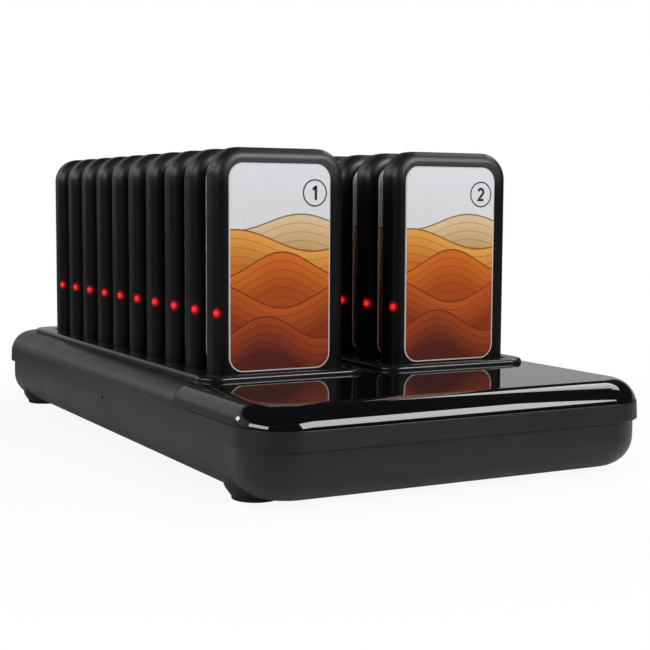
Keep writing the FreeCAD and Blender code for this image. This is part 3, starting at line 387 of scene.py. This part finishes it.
# Plastics: dark shade, light shade, roughness, grain, depth of the grain in metres.
# Metals: dark shade, light shade, roughness, scale of the blotches
MATERIALS = {
    "case_plastic": plastic("case_plastic", (0.0068, 0.0064, 0.0070), (0.0085, 0.0080, 0.0088),
                            (0.36, 0.43), 1700.0, 0.000012, Specular_IOR_Level=0.41),
    "tray_plastic": plastic("tray_plastic", (0.006, 0.007, 0.007), (0.009, 0.010, 0.010),
                            (0.2, 0.27), 900.0, 0.000004),
    "panel_gloss": plastic("panel_gloss", (0.003, 0.003, 0.003), (0.004, 0.004, 0.004),
                           (0.02, 0.045), 500.0, 0.0000004),
    "pager_plastic": pager_plastic(),
    "label_print": label_print(),
    # Pale grey on the label's rim is a painted highlight, standing in for glints on its polished edge
    "label_edge_glint": plastic("label_edge_glint", (0.42, 0.42, 0.43), (0.5, 0.5, 0.51),
                         (0.3, 0.36), 800.0, 0.000002),
    "ink": plastic("ink", (0.01, 0.01, 0.01), (0.014, 0.014, 0.014),
                   (0.4, 0.45), 800.0, 0.000002),
    "board_green": plastic("board_green", (0.01, 0.09, 0.03), (0.02, 0.12, 0.05),
                           (0.35, 0.5), 500.0, 0.00001),
    "contact_metal": metal("contact_metal", (0.72, 0.52, 0.22), (0.9, 0.7, 0.35), (0.2, 0.35), 400.0),
    "wire_metal": metal("wire_metal", (0.6, 0.6, 0.6), (0.8, 0.8, 0.8), (0.25, 0.4), 500.0),
    "port_plastic": plastic("port_plastic", (0.010, 0.010, 0.011), (0.014, 0.014, 0.015),
                            (0.32, 0.42), 1500.0, 0.00001),
    "foot_rubber": plastic("foot_rubber", (0.014, 0.014, 0.014), (0.022, 0.022, 0.022),
                           (0.75, 0.88), 700.0, 0.00006, Specular_IOR_Level=0.3),
    "screw_steel": metal("screw_steel", (0.25, 0.25, 0.26), (0.42, 0.42, 0.43), (0.3, 0.42), 600.0),
    "battery_wrap": plastic("battery_wrap", (0.35, 0.36, 0.38), (0.45, 0.46, 0.48),
                            (0.25, 0.4), 200.0, 0.00002),
    "lens_red": lamp_red(),
    "mark_white": plastic("mark_white", (0.6, 0.6, 0.6), (0.68, 0.68, 0.68),
                          (0.45, 0.5), 900.0, 0.000002),
}


def wear(obj, *names):
    obj.data.materials.clear()
    for name in names:
        obj.data.materials.append(MATERIALS[name])


# Camera

CAMERA_SPOT = (-289.6, -583.2, 111.0)
CAMERA_TURN = (28.40, 5.23, 0.33)
LENS = 73.54


def camera():
    """Camera of the photo: a place in millimetres, then heading, dip and roll in degrees."""
    data = bpy.data.cameras.new("camera")
    data.sensor_width = 36.0
    data.lens = LENS
    data.clip_start, data.clip_end = 0.01, 50.0
    obj = bpy.data.objects.new("camera", data)
    bpy.context.scene.collection.objects.link(obj)
    yaw, pitch, roll = (math.radians(angle) for angle in CAMERA_TURN)
    ahead = Vector((math.sin(yaw) * math.cos(pitch), math.cos(yaw) * math.cos(pitch),
                    -math.sin(pitch)))
    side = Vector((math.cos(yaw), -math.sin(yaw), 0.0))
    above = side.cross(ahead)
    right = side * math.cos(roll) + above * math.sin(roll)
    up = above * math.cos(roll) - side * math.sin(roll)
    turn = Matrix((right, up, -ahead)).transposed()
    obj.matrix_world = Matrix.Translation(Vector(CAMERA_SPOT) * MM) @ turn.to_4x4()
    bpy.context.scene.camera = obj


# Light, floor and room, in metres and degrees

STUDIO_MIDDLE = (0.0, -0.05, 0.05)
MIRROR_AWAY = 3.0


def toward(azimuth, elevation):
    """Direction that starts at the rear and turns toward the right."""
    a, e = math.radians(azimuth), math.radians(elevation)
    return Vector((math.sin(a) * math.cos(e), math.cos(a) * math.cos(e), math.sin(e)))


def softbox(name, azimuth, elevation, distance, wide, tall, radiance, mirror=False):
    """Lamp panel; a mirror panel shows in reflections only."""
    data = bpy.data.lights.new(name, "AREA")
    data.shape = "RECTANGLE"
    data.size, data.size_y = wide, tall
    data.energy = radiance * math.pi * wide * tall
    obj = bpy.data.objects.new(name, data)
    bpy.context.scene.collection.objects.link(obj)
    way = toward(azimuth, elevation)
    obj.location = Vector(STUDIO_MIDDLE) + way * distance
    obj.rotation_euler = way.to_track_quat("Z", "Y").to_euler()
    obj.visible_diffuse = not mirror
    obj.visible_glossy = mirror


def mirror_panel(name, azimuths, elevations, radiance):
    """Mirror panel that fills a range of directions."""
    wide, tall = (2 * MIRROR_AWAY * math.tan(math.radians(high - low) / 2)
                  for low, high in (azimuths, elevations))
    softbox(name, sum(azimuths) / 2, sum(elevations) / 2, MIRROR_AWAY, wide, tall, radiance, True)


# Floor by the distance from its middle: near, far, value near, value far
FLOOR_HALF = 6.0
FLOOR_SEEN = (0.1, 0.36, 0.91, 1.0)
FLOOR_COLOUR = (0.16, 0.42, 0.82, 0.22)


def stage():
    """Pale floor that keeps the shadow; the eye sees it turn white further out."""
    bm = bmesh.new()
    bmesh.ops.create_grid(bm, x_segments=1, y_segments=1, size=FLOOR_HALF)
    floor = piece("floor", bm)
    nodes = Surface("floor", Roughness=0.9, Specular_IOR_Level=0.0)
    path = nodes.node("LightPath").outputs
    seen = nodes.math("MAXIMUM", path["Is Camera Ray"], path["Is Transmission Ray"])
    away = nodes.node("VectorMath", (nodes.place,), operation="LENGTH").outputs["Value"]
    nodes.link("Base Color", nodes.grey(nodes.ramp(away, *FLOOR_COLOUR, SOFT)))
    share = nodes.math("MULTIPLY", seen, nodes.ramp(away, *FLOOR_SEEN, SOFT))
    light = nodes.node("Emission")
    light.inputs["Strength"].default_value = 1.0
    blend = nodes.node("MixShader", (share, nodes.shader.outputs[0], light.outputs[0]))
    nodes.put(nodes.tree.nodes["Material Output"].inputs[0], blend.outputs[0])
    floor.data.materials.append(nodes.material)


# Room by the direction: from, to, value at each; its strengths in diffuse light and in reflections
ROOM_LEFT, ROOM_UPPER = (-0.42, 0.1, 0.48, 1.0), (0.12, 0.3, 0.0, 1.0)
ROOM_BEHIND, ROOM_LOW = (-0.1, 0.5, 0.0, 1.0), (0.44, 0.58, 1.0, 0.0)
ROOM_TILT = 0.45
ROOM_PLAIN, ROOM_PALE, ROOM_DARK = 0.35, 0.53, 0.02


def room():
    """White to the eye; in reflections pale behind the object and dark above and in front."""
    world = bpy.data.worlds.new("room")
    bpy.context.scene.world = world
    world.use_nodes = True
    nodes = Graph(world.node_tree)
    x, y, z = nodes.split(nodes.node("TexCoord").outputs["Generated"])
    kept = nodes.math("MAXIMUM", nodes.ramp(x, *ROOM_LEFT, SOFT), nodes.ramp(z, *ROOM_UPPER, SOFT))
    behind = nodes.math("MULTIPLY", nodes.ramp(y, *ROOM_BEHIND, SOFT), kept)
    sideways = nodes.math("MULTIPLY", nodes.math("MAXIMUM", x, 0.0), ROOM_TILT)
    low = nodes.ramp(nodes.math("ADD", z, sideways), *ROOM_LOW, SOFT)
    pale = nodes.math("MULTIPLY", nodes.math("MULTIPLY", behind, low), ROOM_PALE)
    mirrored = nodes.math("ADD", pale, ROOM_DARK)
    path = nodes.node("LightPath").outputs
    glossy = path["Is Glossy Ray"]
    shown = nodes.math("MAXIMUM", path["Is Camera Ray"], path["Is Transmission Ray"])
    plain = nodes.math("MULTIPLY", nodes.math("SUBTRACT", 1.0, glossy), ROOM_PLAIN)
    other = nodes.math("ADD", plain, nodes.math("MULTIPLY", glossy, mirrored))
    hidden = nodes.math("SUBTRACT", 1.0, shown)
    total = nodes.math("ADD", shown, nodes.math("MULTIPLY", hidden, other))
    background = nodes.tree.nodes["Background"]
    nodes.put(background.inputs["Strength"], total)
    nodes.put(background.inputs["Color"], rgb(1.0, 1.0, 1.0))


camera()
stage()
room()
softbox("key", 165.0, 34.0, 1.3, 0.9, 0.8, 4.95)
softbox("side", 78.0, 44.0, 1.3, 0.8, 0.5, 4.0)
softbox("fill", -96.0, 24.0, 1.3, 0.6, 0.5, 4.2)
mirror_panel("front_streak", (137.0, 174.0), (20.5, 40.0), 11.0)
mirror_panel("side_streak", (57.0, 91.0), (37.0, 50.0), 4.8)
mirror_panel("corner_streak", (-118.0, -78.0), (18.0, 27.0), 9.0)
mirror_panel("edge_streak", (-43.0, -32.0), (17.0, 25.0), 9.0)


# Upper housing and panel; profiles are height and inset, plates width, depth, corner radius, X, Y

ROUND_STEPS = 18
CASE_EDGE, PANEL_EDGE = 0.2, 0.42
CASE_HOLLOW = [(10.0, 2.6), (28.6, 2.6), (28.6, 10.8), (34.4, 10.8)]
REAR_HOLLOW, REAR_LEVELS = (168.4, 244.9, 14.4, 0.0, 38.45), [(26.0, 0.0), (36.4, 0.0)]
RELIEF_BACK, DOME_FOOT, PANEL_FOOT = -88.5, 20.0, 10.0
HATCH, HATCH_LEVELS = (67.2, 232.8, 4.4), [(25.0, 0.0), (50.0, 0.0)]
HATCH_MIDDLE = 22.4
WINDOW, WINDOW_LEVELS = (120.8, 46.8, 2.0, 0.0, -127.0), [(30.0, 0.0), (50.0, 0.0)]
PLATE_STEPS = 4
ZONE_FRONT, ZONE_TOP, ZONE_SIDE, ZONE_ROUND, ZONE_STEPS = -190.0, 70.0, 110.0, 3.5, 8
NOTCH_GAP, NOTCH_LEVELS = 0.15, [(20.0, 0.0), (60.0, 0.0)]


def dome(inset, radius, top, low):
    """Loops of the rounded upper surface of the base."""
    foot = top - radius
    rise = [(foot + up, inset + back) for up, back in arc(radius, ROUND_STEPS)]
    return layers([(low, inset)] + rise, *BASE)


def inner_dome(low):
    """Space under the panel."""
    return solid("inside", dome(DOME_INSET + PANEL, SHOULDER - PANEL, DECK - PANEL, low))


def front_zone(name, back, foot):
    """Block of space the panel fills, its lower rear corners round."""
    side = [(ZONE_FRONT, foot)]
    for step in range(ZONE_STEPS + 1):
        angle = math.radians(90.0 * step / ZONE_STEPS)
        side.append((back - ZONE_ROUND + ZONE_ROUND * math.sin(angle),
                     foot + ZONE_ROUND - ZONE_ROUND * math.cos(angle)))
    side += [(back, ZONE_TOP), (ZONE_FRONT, ZONE_TOP)]
    return solid(name, [[(x, y, z) for y, z in side] for x in (-ZONE_SIDE, ZONE_SIDE)])


def upper_case():
    """Skirt with a soft crease, rounded shoulder and deck, open for trays and panel."""
    skirt = [(LIP, 0.25), (LIP + 0.25, 0.0), (CREASE - 0.25, SKIRT_LEAN - 0.02),
             (CREASE, SKIRT_LEAN + 0.12)]
    start = math.degrees(math.asin((CREASE - DECK + SHOULDER) / SHOULDER))
    rise = [(DECK - SHOULDER + z, DOME_INSET + inset) for z, inset in arc(SHOULDER, ROUND_STEPS, start)]
    shell = solid("case_top", layers(skirt + rise, *BASE))
    carve(shell, solid("room", layers(CASE_HOLLOW, *BASE)))
    carve(shell, solid("rear", layers(REAR_LEVELS, *REAR_HOLLOW)))
    relief = front_zone("relief", RELIEF_BACK, CREASE)
    carve(relief, inner_dome(DOME_FOOT))
    carve(shell, relief)
    hatches = [layers(HATCH_LEVELS, *HATCH, side * COLUMN, HATCH_MIDDLE, PLATE_STEPS)
               for side in (-1, 1)]
    carve(shell, solid("hatches", *hatches))
    carve(shell, solid("window", layers(WINDOW_LEVELS, *WINDOW, PLATE_STEPS)))
    smooth(shell, SHARP, CASE_EDGE)
    wear(shell, "case_plastic")
    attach(shell, "base")
    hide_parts("upper_case")


def touch_panel():
    """Gloss shell over the front deck and shoulders, notched for the trays."""
    panel = solid("front_panel", dome(DOME_INSET, SHOULDER, DECK, DOME_FOOT))
    carve(panel, inner_dome(PANEL_FOOT))
    carve(panel, front_zone("zone", PANEL_BACK, CREASE + 0.15), "INTERSECT")
    wide, deep, corner = TRAY
    notches = [layers(NOTCH_LEVELS, wide + 2 * NOTCH_GAP, deep + 2 * NOTCH_GAP, corner + NOTCH_GAP,
                      side * COLUMN, TRAY_MIDDLE) for side in (-1, 1)]
    carve(panel, solid("notches", *notches))
    smooth(panel, SHARP, PANEL_EDGE)
    wear(panel, "panel_gloss")
    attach(panel, "base")
    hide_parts("touch_panel")


# Lower housing and feet, in millimetres

LOWER_INSET, LOWER_ROUND = 1.8, 13.0
TONGUE_INSET, TONGUE_TOP = 2.8, 25.6
TUB_HOLLOW = [(12.0, 4.2), (30.0, 4.2)]
PIT, PIT_LEVELS = (164.0, 314.0, 12.2), [(5.4, 0.0), (14.0, 0.0)]
BAY_BLOCK = (14.0, 157.0, 11.0), (66.0, 166.5, LIP)
BAY = (17.0, 160.0, -5.0), (63.0, 180.0, 19.6)
GATE = (43.5, 150.0, 8.7), (56.5, 165.0, 17.3)
INLET, INLET_REACH = (4.1, 28.0, 13.0, 0.0), (150.0, 165.0)
TOWER, WELL, PASS = (5.2, 4.0, 17.0), (3.5, -5.0, 12.0), (1.7, 11.0, 18.0, 16)
PRY_NOTCH, PRY_REACH = ((-2.1, 23.2), (2.1, 23.2), (0.0, 19.6)), (89.8, 95.0)
# Turned forms round the foot spots: height, radius, shift of the middle
BOSS = ((1.35, 9.0, 1.0), (1.5, 9.35, 1.0), (1.9, 9.6, 1.1), (4.8, 10.2, 2.4), (6.2, 10.3, 2.7),
        (9.6, 10.3, 2.7))
SEAT = ((-1.0, 7.6, 1.0), (3.9, 7.6, 1.0))
PAD = ((0.0, 8.5, 1.0), (0.1, 8.9, 1.0), (0.4, 9.2, 1.0), (1.25, 9.2, 1.0), (1.3, 7.5, 1.0),
       (3.8, 7.5, 1.0))


def four(spot):
    """A spot mirrored into all four corners, with its signs."""
    return [(sx * spot[0], sy * spot[1], sx, sy) for sx in (-1, 1) for sy in (-1, 1)]


def at_screws(name, radius, low, high, steps=32):
    """Upright cylinders on the four screws' axes."""
    return solid(name, *[[disc(radius, x, y, z, steps) for z in (low, high)]
                         for x, y, *_ in four(SCREW_SPOT)])


def at_feet(name, profile):
    """Turned forms at the four feet, shifted outward in X and half as far inward in Y."""
    return solid(name, *[[disc(radius, x + sx * shift, y - sy * shift / 2, z)
                          for z, radius, shift in profile] for x, y, sx, sy in four(FOOT_SPOT)])


def lower_case():
    """Tub with the round lower edge, foot bosses, screw wells, port bay and pry notches."""
    profile = [(BASE_FOOT + LOWER_ROUND - rise, LOWER_INSET + back)
               for rise, back in reversed(list(arc(LOWER_ROUND, ROUND_STEPS)))]
    profile += [(LIP - 0.2, LOWER_INSET), (LIP, LOWER_INSET + 0.2), (LIP, TONGUE_INSET),
                (TONGUE_TOP, TONGUE_INSET)]
    shell = solid("case_bottom", layers(profile, *BASE))
    carve(shell, solid("room", layers(TUB_HOLLOW, *BASE)))
    carve(shell, solid("pit", layers(PIT_LEVELS, *PIT)))
    carve(shell, solid("block", box_loops(*BAY_BLOCK)), "UNION")
    carve(shell, at_screws("towers", *TOWER), "UNION")
    carve(shell, at_feet("bosses", BOSS), "UNION")
    carve(shell, solid("bay", box_loops(*BAY)))
    carve(shell, at_screws("wells", *WELL))
    carve(shell, at_screws("passes", *PASS))
    carve(shell, at_feet("seats", SEAT))
    inlet = [[(x, y, z) for x, z, _ in disc(*INLET)] for y in INLET_REACH]
    carve(shell, solid("inlet", inlet))
    carve(shell, solid("gate", box_loops(*GATE)))
    notches = [[[(side * x, y, z) for y, z in PRY_NOTCH] for x in PRY_REACH] for side in (-1, 1)]
    carve(shell, solid("notches", *notches))
    smooth(shell, SHARP, CASE_EDGE)
    wear(shell, "case_plastic")
    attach(shell, "base")
    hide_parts("lower_case")


def feet():
    """Rubber pads under the foot bosses, each with its plug."""
    obj = at_feet("foot_pads", PAD)
    smooth(obj, SHARP_ROUND)
    wear(obj, "foot_rubber")
    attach(obj, "base")
    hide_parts("rubber_feet")


# Trays, in millimetres

TRAY_ROUND, TRAY_STEPS = 1.5, 6
TROUGH, TROUGH_FOOT = (66.4, 232.0, 4.0), 26.9
SLOT, SLOT_STEPS = (61.2, 15.2, 2.6), 5
SLIT_SPOT, SLIT, SLIT_LEVELS = 12.0, (2.0, 1.1), (20.0, 32.0)


def slot_tray(side, word):
    """Plateau on the deck over a trough, with ten flared slots and their slits."""
    x = side * COLUMN
    shoulder = TRAY_TOP - TRAY_ROUND
    plate = [(DECK - 0.05, 0.0), (shoulder, 0.0)]
    plate += [(shoulder + rise, back) for rise, back in arc(TRAY_ROUND, TRAY_STEPS)][1:]
    tray = solid("tray_" + word, layers(plate, *TRAY, x, TRAY_MIDDLE))
    levels = [(TROUGH_FOOT, 0.0), (DECK + 0.5, 0.0)]
    trough = solid("trough", layers(levels, *TROUGH, x, HATCH_MIDDLE, PLATE_STEPS))
    carve(tray, trough, "UNION")
    flare = [(PAGER_FOOT, 0.0), (TRAY_TOP - 0.7, 0.0), (TRAY_TOP - 0.3, -0.12), (TRAY_TOP, -0.5),
             (TRAY_TOP + 1.0, -1.6)]
    half_wide, half_deep = SLIT
    low, high = SLIT_LEVELS
    slots, slits = [], []
    for row in range(ROWS):
        y = FIRST_FACE + PAGER[1] / 2 + ROW_PITCH * row
        slots.append(layers(flare, *SLOT, x, y, SLOT_STEPS))
        for end in (-SLIT_SPOT, SLIT_SPOT):
            slits.append(box_loops((x + end - half_wide, y - half_deep, low),
                                   (x + end + half_wide, y + half_deep, high)))
    carve(tray, solid("slots", *slots))
    carve(tray, solid("slits", *slits))
    smooth(tray, SHARP)
    wear(tray, "tray_plastic")
    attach(tray, "base")
    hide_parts("slot_tray_" + word)


# Pagers, in millimetres

TOP_CORNER, FOOT_CORNER = 12.0, 6.8
PAGER_ROUND, PAGER_STEPS = 4.8, 10
# Groove between the shells: depth into the pager, inset
PARTING = ((5.0 - 0.08, 0.0), (5.0 - 0.04, 0.28), (5.0 + 0.08, 0.28), (5.0 + 0.12, 0.0))
LABEL_PROFILE = ((0.0, 0.0), (0.40, 0.0), (0.51, 0.04), (LABEL_THICK, 0.15), (LABEL_THICK, 0.55))
LABEL_STEPS = 10
LENS_PROFILE = ((-0.6, 0.95), (0.02, 0.95), (0.1, 1.15), (0.2, 1.12), (0.24, 0.9), (0.36, 0.8),
                (0.5, 0.5), (0.55, 0.2))
LENS_STEPS, LENS_HEADING = 20, 180.0 + 57.0


def pager_outline(inset, y):
    """Upright outline: wide round corners above, smaller ones below."""
    wide, _, tall = PAGER
    corners = ((1, tall - TOP_CORNER, TOP_CORNER), (-1, tall - TOP_CORNER, TOP_CORNER),
               (-1, FOOT_CORNER, FOOT_CORNER), (1, FOOT_CORNER, FOOT_CORNER))
    points = []
    for quarter, (sx, middle, corner) in enumerate(corners):
        radius = corner - inset
        for step in range(FINE + 1):
            angle = math.pi / 2 * (quarter + step / FINE)
            points.append((sx * (wide / 2 - corner) + radius * math.cos(angle), y,
                           middle + radius * math.sin(angle)))
    return points


def pager_mesh():
    """Closed case with round edges and a groove where its shells meet."""
    edge = list(arc(PAGER_ROUND, PAGER_STEPS))
    loops = [pager_outline(PAGER_ROUND - rise, back) for rise, back in edge]
    loops += [pager_outline(groove, y) for y, groove in PARTING]
    loops += [pager_outline(PAGER_ROUND - rise, PAGER[1] - back) for rise, back in reversed(edge)]
    obj = solid("pager_form", loops)
    smooth(obj, SHARP_ROUND, clean=False)
    wear(obj, "pager_plastic")
    return obj


def upright(loop):
    """Turns a flat outline with its height along Y into an upright one."""
    return [(x, -z, y) for x, y, z in loop]


def label_mesh():
    """Label plate with a soft rim, its face toward the front; the rim is a painted highlight in pale
    grey.
    """
    bm = bmesh.new()
    skin(bm, [upright(loop) for loop in layers(LABEL_PROFILE, *LABEL, steps=LABEL_STEPS)])
    # All faces but the front take the rim's pale grey, a painted highlight
    for face in bm.faces:
        face.material_index = 1
    front = max(bm.faces, key=lambda f: (len(f.verts) > 4, -f.calc_center_median().y))
    front.material_index = 0
    obj = piece("label_form", bm)
    smooth(obj, SHARP_LABEL, clean=False)
    wear(obj, "label_print", "label_edge_glint")
    return obj


def lens_mesh():
    """Small dome with a foot ring, facing out of the front left edge."""
    obj = solid("lens_form", [disc(radius, 0.0, 0.0, rise, LENS_STEPS)
                              for rise, radius in LENS_PROFILE])
    way = toward(LENS_HEADING, 0.0)
    obj.data.transform(way.to_track_quat("Z", "Y").to_matrix().to_4x4())
    smooth(obj, SHARP_ROUND, clean=False)
    wear(obj, "lens_red")
    return obj


# Figures and marks

def bow(x, y, wide, tall, start, end, steps=20):
    """Points along part of an ellipse, angles in degrees."""
    angles = [math.radians(start + (end - start) * i / steps) for i in range(steps + 1)]
    return [(x + wide * math.cos(a), y + tall * math.sin(a)) for a in angles]


# Strokes of the figures in a cell one high
FIGURES = {
    "0": [bow(0.31, 0.5, 0.22, 0.415, 0, 360, 40)],
    "1": [[(0.385, 0.0), (0.385, 1.0)], [(0.42, 0.955), (0.14, 0.73)]],
    "2": [bow(0.31, 0.69, 0.22, 0.225, 168, -32) + [(0.1, 0.085), (0.55, 0.085)]],
    "3": [bow(0.29, 0.715, 0.2, 0.2, 155, -80) + bow(0.3, 0.3, 0.23, 0.215, 80, -155)],
    "4": [[(0.425, 0.0), (0.425, 1.0)], [(0.43, 0.93), (0.09, 0.29), (0.6, 0.29)]],
    "5": [[(0.53, 0.915), (0.16, 0.915), (0.125, 0.5)] + bow(0.3, 0.33, 0.23, 0.245, 125, -150)],
    "6": [bow(0.31, 0.31, 0.22, 0.225, 0, 360, 40), bow(0.4, 0.36, 0.31, 0.56, 190, 92)],
    "7": [[(0.07, 0.915), (0.53, 0.915), (0.24, 0.0)]],
    "8": [bow(0.31, 0.72, 0.19, 0.195, 0, 360, 40), bow(0.31, 0.3, 0.22, 0.215, 0, 360, 40)],
    "9": [bow(0.31, 0.69, 0.22, 0.225, 0, 360, 40), bow(0.22, 0.64, 0.31, 0.56, 10, -88)],
}
# In shares of a figure's height, and figures alone or in pairs in millimetres
FIGURE_WIDE, STROKE, CELL = 0.62, 0.1, 0.76
FIGURE_TALL = {1: 5.9, 2: 5.0}
RING, RING_STROKE, RING_STEPS, INK_HIGH = 5.45, 0.3, 56, 0.05
NUMBER_SPOT = (16.0, 31.0)
# Marks on the rocker, in millimetres and degrees
MARK_RING, MARK_BAR, MARK_STROKE, MARK_HIGH = 1.0, 1.25, 0.24, 0.06
MARK_SPOT, ROCKER_LEAN = (2.75, 1.387), 10.0


def ribbon(bm, points, half, high):
    """Flat bar along a line of points; a line that ends where it starts is closed."""
    near, sharpest = 1e-6, 0.5
    closed = (Vector(points[0]) - Vector(points[-1])).length < near
    if closed:
        points = points[:-1]
    spots = [Vector(p) for p in points]
    count = len(spots)
    rings = []
    for i, spot in enumerate(spots):
        into = spot - spots[i - 1] if i or closed else spots[1] - spot
        out = spots[(i + 1) % count] - spot if i < count - 1 or closed else into
        into, out = into.normalized(), out.normalized()
        along = (into + out).normalized()
        aside = Vector((-along.y, along.x)) * half / max(along.dot(into), sharpest)
        left, right = spot + aside, spot - aside
        rings.append([(*left, 0.0), (*right, 0.0), (*right, high), (*left, high)])
    verts = skin(bm, rings, caps=not closed)
    if closed:
        for i in range(4):
            j = (i + 1) % 4
            bm.faces.new((verts[-1][i], verts[-1][j], verts[0][j], verts[0][i]))


def number_mesh(number):
    """Bold figures in a thin ring, standing on the label."""
    text = str(number)
    tall = FIGURE_TALL[len(text)]
    start = -(FIGURE_WIDE + CELL * (len(text) - 1)) / 2
    bm = bmesh.new()
    for place, figure in enumerate(text):
        for line in FIGURES[figure]:
            points = [((x + start + CELL * place) * tall, (y - 0.5) * tall) for x, y in line]
            ribbon(bm, points, STROKE * tall, INK_HIGH)
    ribbon(bm, bow(0.0, 0.0, RING, RING, 0, 360, RING_STEPS), RING_STROKE, INK_HIGH)
    bm.transform(Matrix.Rotation(math.radians(90.0), 4, "X"))
    obj = piece("number_%02d" % number, bm)
    wear(obj, "ink")
    return obj


def rocker_marks():
    """Ring on the pressed end of the rocker and bar on the other."""
    bm = bmesh.new()
    tilt = math.radians(SWITCH_TILT)
    ring = bow(0.0, 0.0, MARK_RING, MARK_RING, 0, 360, 32)
    bar = [(0.0, -MARK_BAR), (0.0, MARK_BAR)]
    out, up = MARK_SPOT
    for side, line in ((1, ring), (-1, bar)):
        mark = bmesh.new()
        ribbon(mark, line, MARK_STROKE, MARK_HIGH)
        lean = tilt + side * math.radians(ROCKER_LEAN)
        right = Vector((-math.cos(lean), -math.sin(lean), 0.0))
        normal = Vector((-math.sin(lean), math.cos(lean), 0.0))
        turn = Matrix((right, Vector((0.0, 0.0, 1.0)), normal)).transposed().to_4x4()
        spot = Matrix.Rotation(tilt, 4, "Z") @ Vector((side * out, up, 0.0)) + Vector(SWITCH_SPOT)
        mark.transform(Matrix.Translation(spot * MM) @ turn)
        mesh = bpy.data.meshes.new("mark")
        mark.to_mesh(mesh)
        mark.free()
        bm.from_mesh(mesh)
        bpy.data.meshes.remove(mesh)
    obj = piece("rocker_marks", bm)
    wear(obj, "mark_white")
    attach(obj, "power_rocker")


def again(form, name, body, x, y, z, slot, *nodes):
    """Another piece with a form's mesh."""
    obj = bpy.data.objects.new(name, form.data)
    bpy.context.scene.collection.objects.link(obj)
    even_normals(obj)
    obj.location = Vector((x, y, z)) * MM
    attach(obj, body)
    if nodes:
        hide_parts(*nodes)


def pagers():
    """Twenty pagers by rows, odd numbers on the left; only the first is open inside."""
    case, label, lens = pager_mesh(), label_mesh(), lens_mesh()
    lens_x, lens_y, lens_z = LENS_SPOT
    number_x, number_z = NUMBER_SPOT
    for number in range(1, 2 * ROWS + 1):
        body = "pager_%02d" % number
        x = -COLUMN if number % 2 else COLUMN
        y = FIRST_FACE + ROW_PITCH * ((number - 1) // 2)
        shells = [body + "_case"] if number > 1 else [body + "_front_shell", body + "_rear_shell"]
        again(case, body + "_shell", body, x, y, PAGER_FOOT, "pager_plastic", *shells)
        again(label, body + "_print", body, x + LABEL_SHIFT, y, PAGER_FOOT + LABEL_MIDDLE,
              "label_print", body + "_label")
        lenses = [body + "_light_lens"] if number == 1 else []
        again(lens, body + "_lamp", body, x + lens_x, y + lens_y, PAGER_FOOT + lens_z, "lens_red",
              *lenses)
        figures = number_mesh(number)
        figures.name = body + "_number"
        figures.location = Vector((x + LABEL_SHIFT + number_x, y - LABEL_THICK,
                                   PAGER_FOOT + LABEL_MIDDLE + number_z)) * MM
        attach(figures, body)
    for form in (case, label, lens):
        bpy.data.objects.remove(form)


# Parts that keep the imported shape: node, material, small round on the edges in millimetres

KEPT = (
    ("case_screws", "screw_steel", 0.2), ("charging_board", "board_green", 0.1),
    ("control_board", "board_green", 0.1), ("charging_contacts", "contact_metal", 0.1),
    ("antenna", "wire_metal", 0.2), ("dc_jack", "port_plastic", 0.15),
    ("power_switch_frame", "port_plastic", 0.25), ("power_rocker", "port_plastic", 0.2),
    ("pager_01_circuit_board", "board_green", 0.1), ("pager_01_battery", "battery_wrap", 0.3),
    ("pager_01_vibration_motor", "screw_steel", 0.2),
    ("pager_01_charge_plates", "contact_metal", 0.1),
)


def keep(node, material, edge):
    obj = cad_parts[node]
    if "custom_normal" in obj.data.attributes:
        obj.data.attributes.remove(obj.data.attributes["custom_normal"])
    obj.data.shade_smooth()
    weld = obj.modifiers.new("weld", "WELD")
    weld.merge_threshold = MERGE
    round_edges(obj, edge, SHARP)
    even_normals(obj)
    wear(obj, material)


upper_case()
lower_case()
feet()
touch_panel()
slot_tray(-1, "left")
slot_tray(1, "right")
pagers()
rocker_marks()
for kept in KEPT:
    keep(*kept)
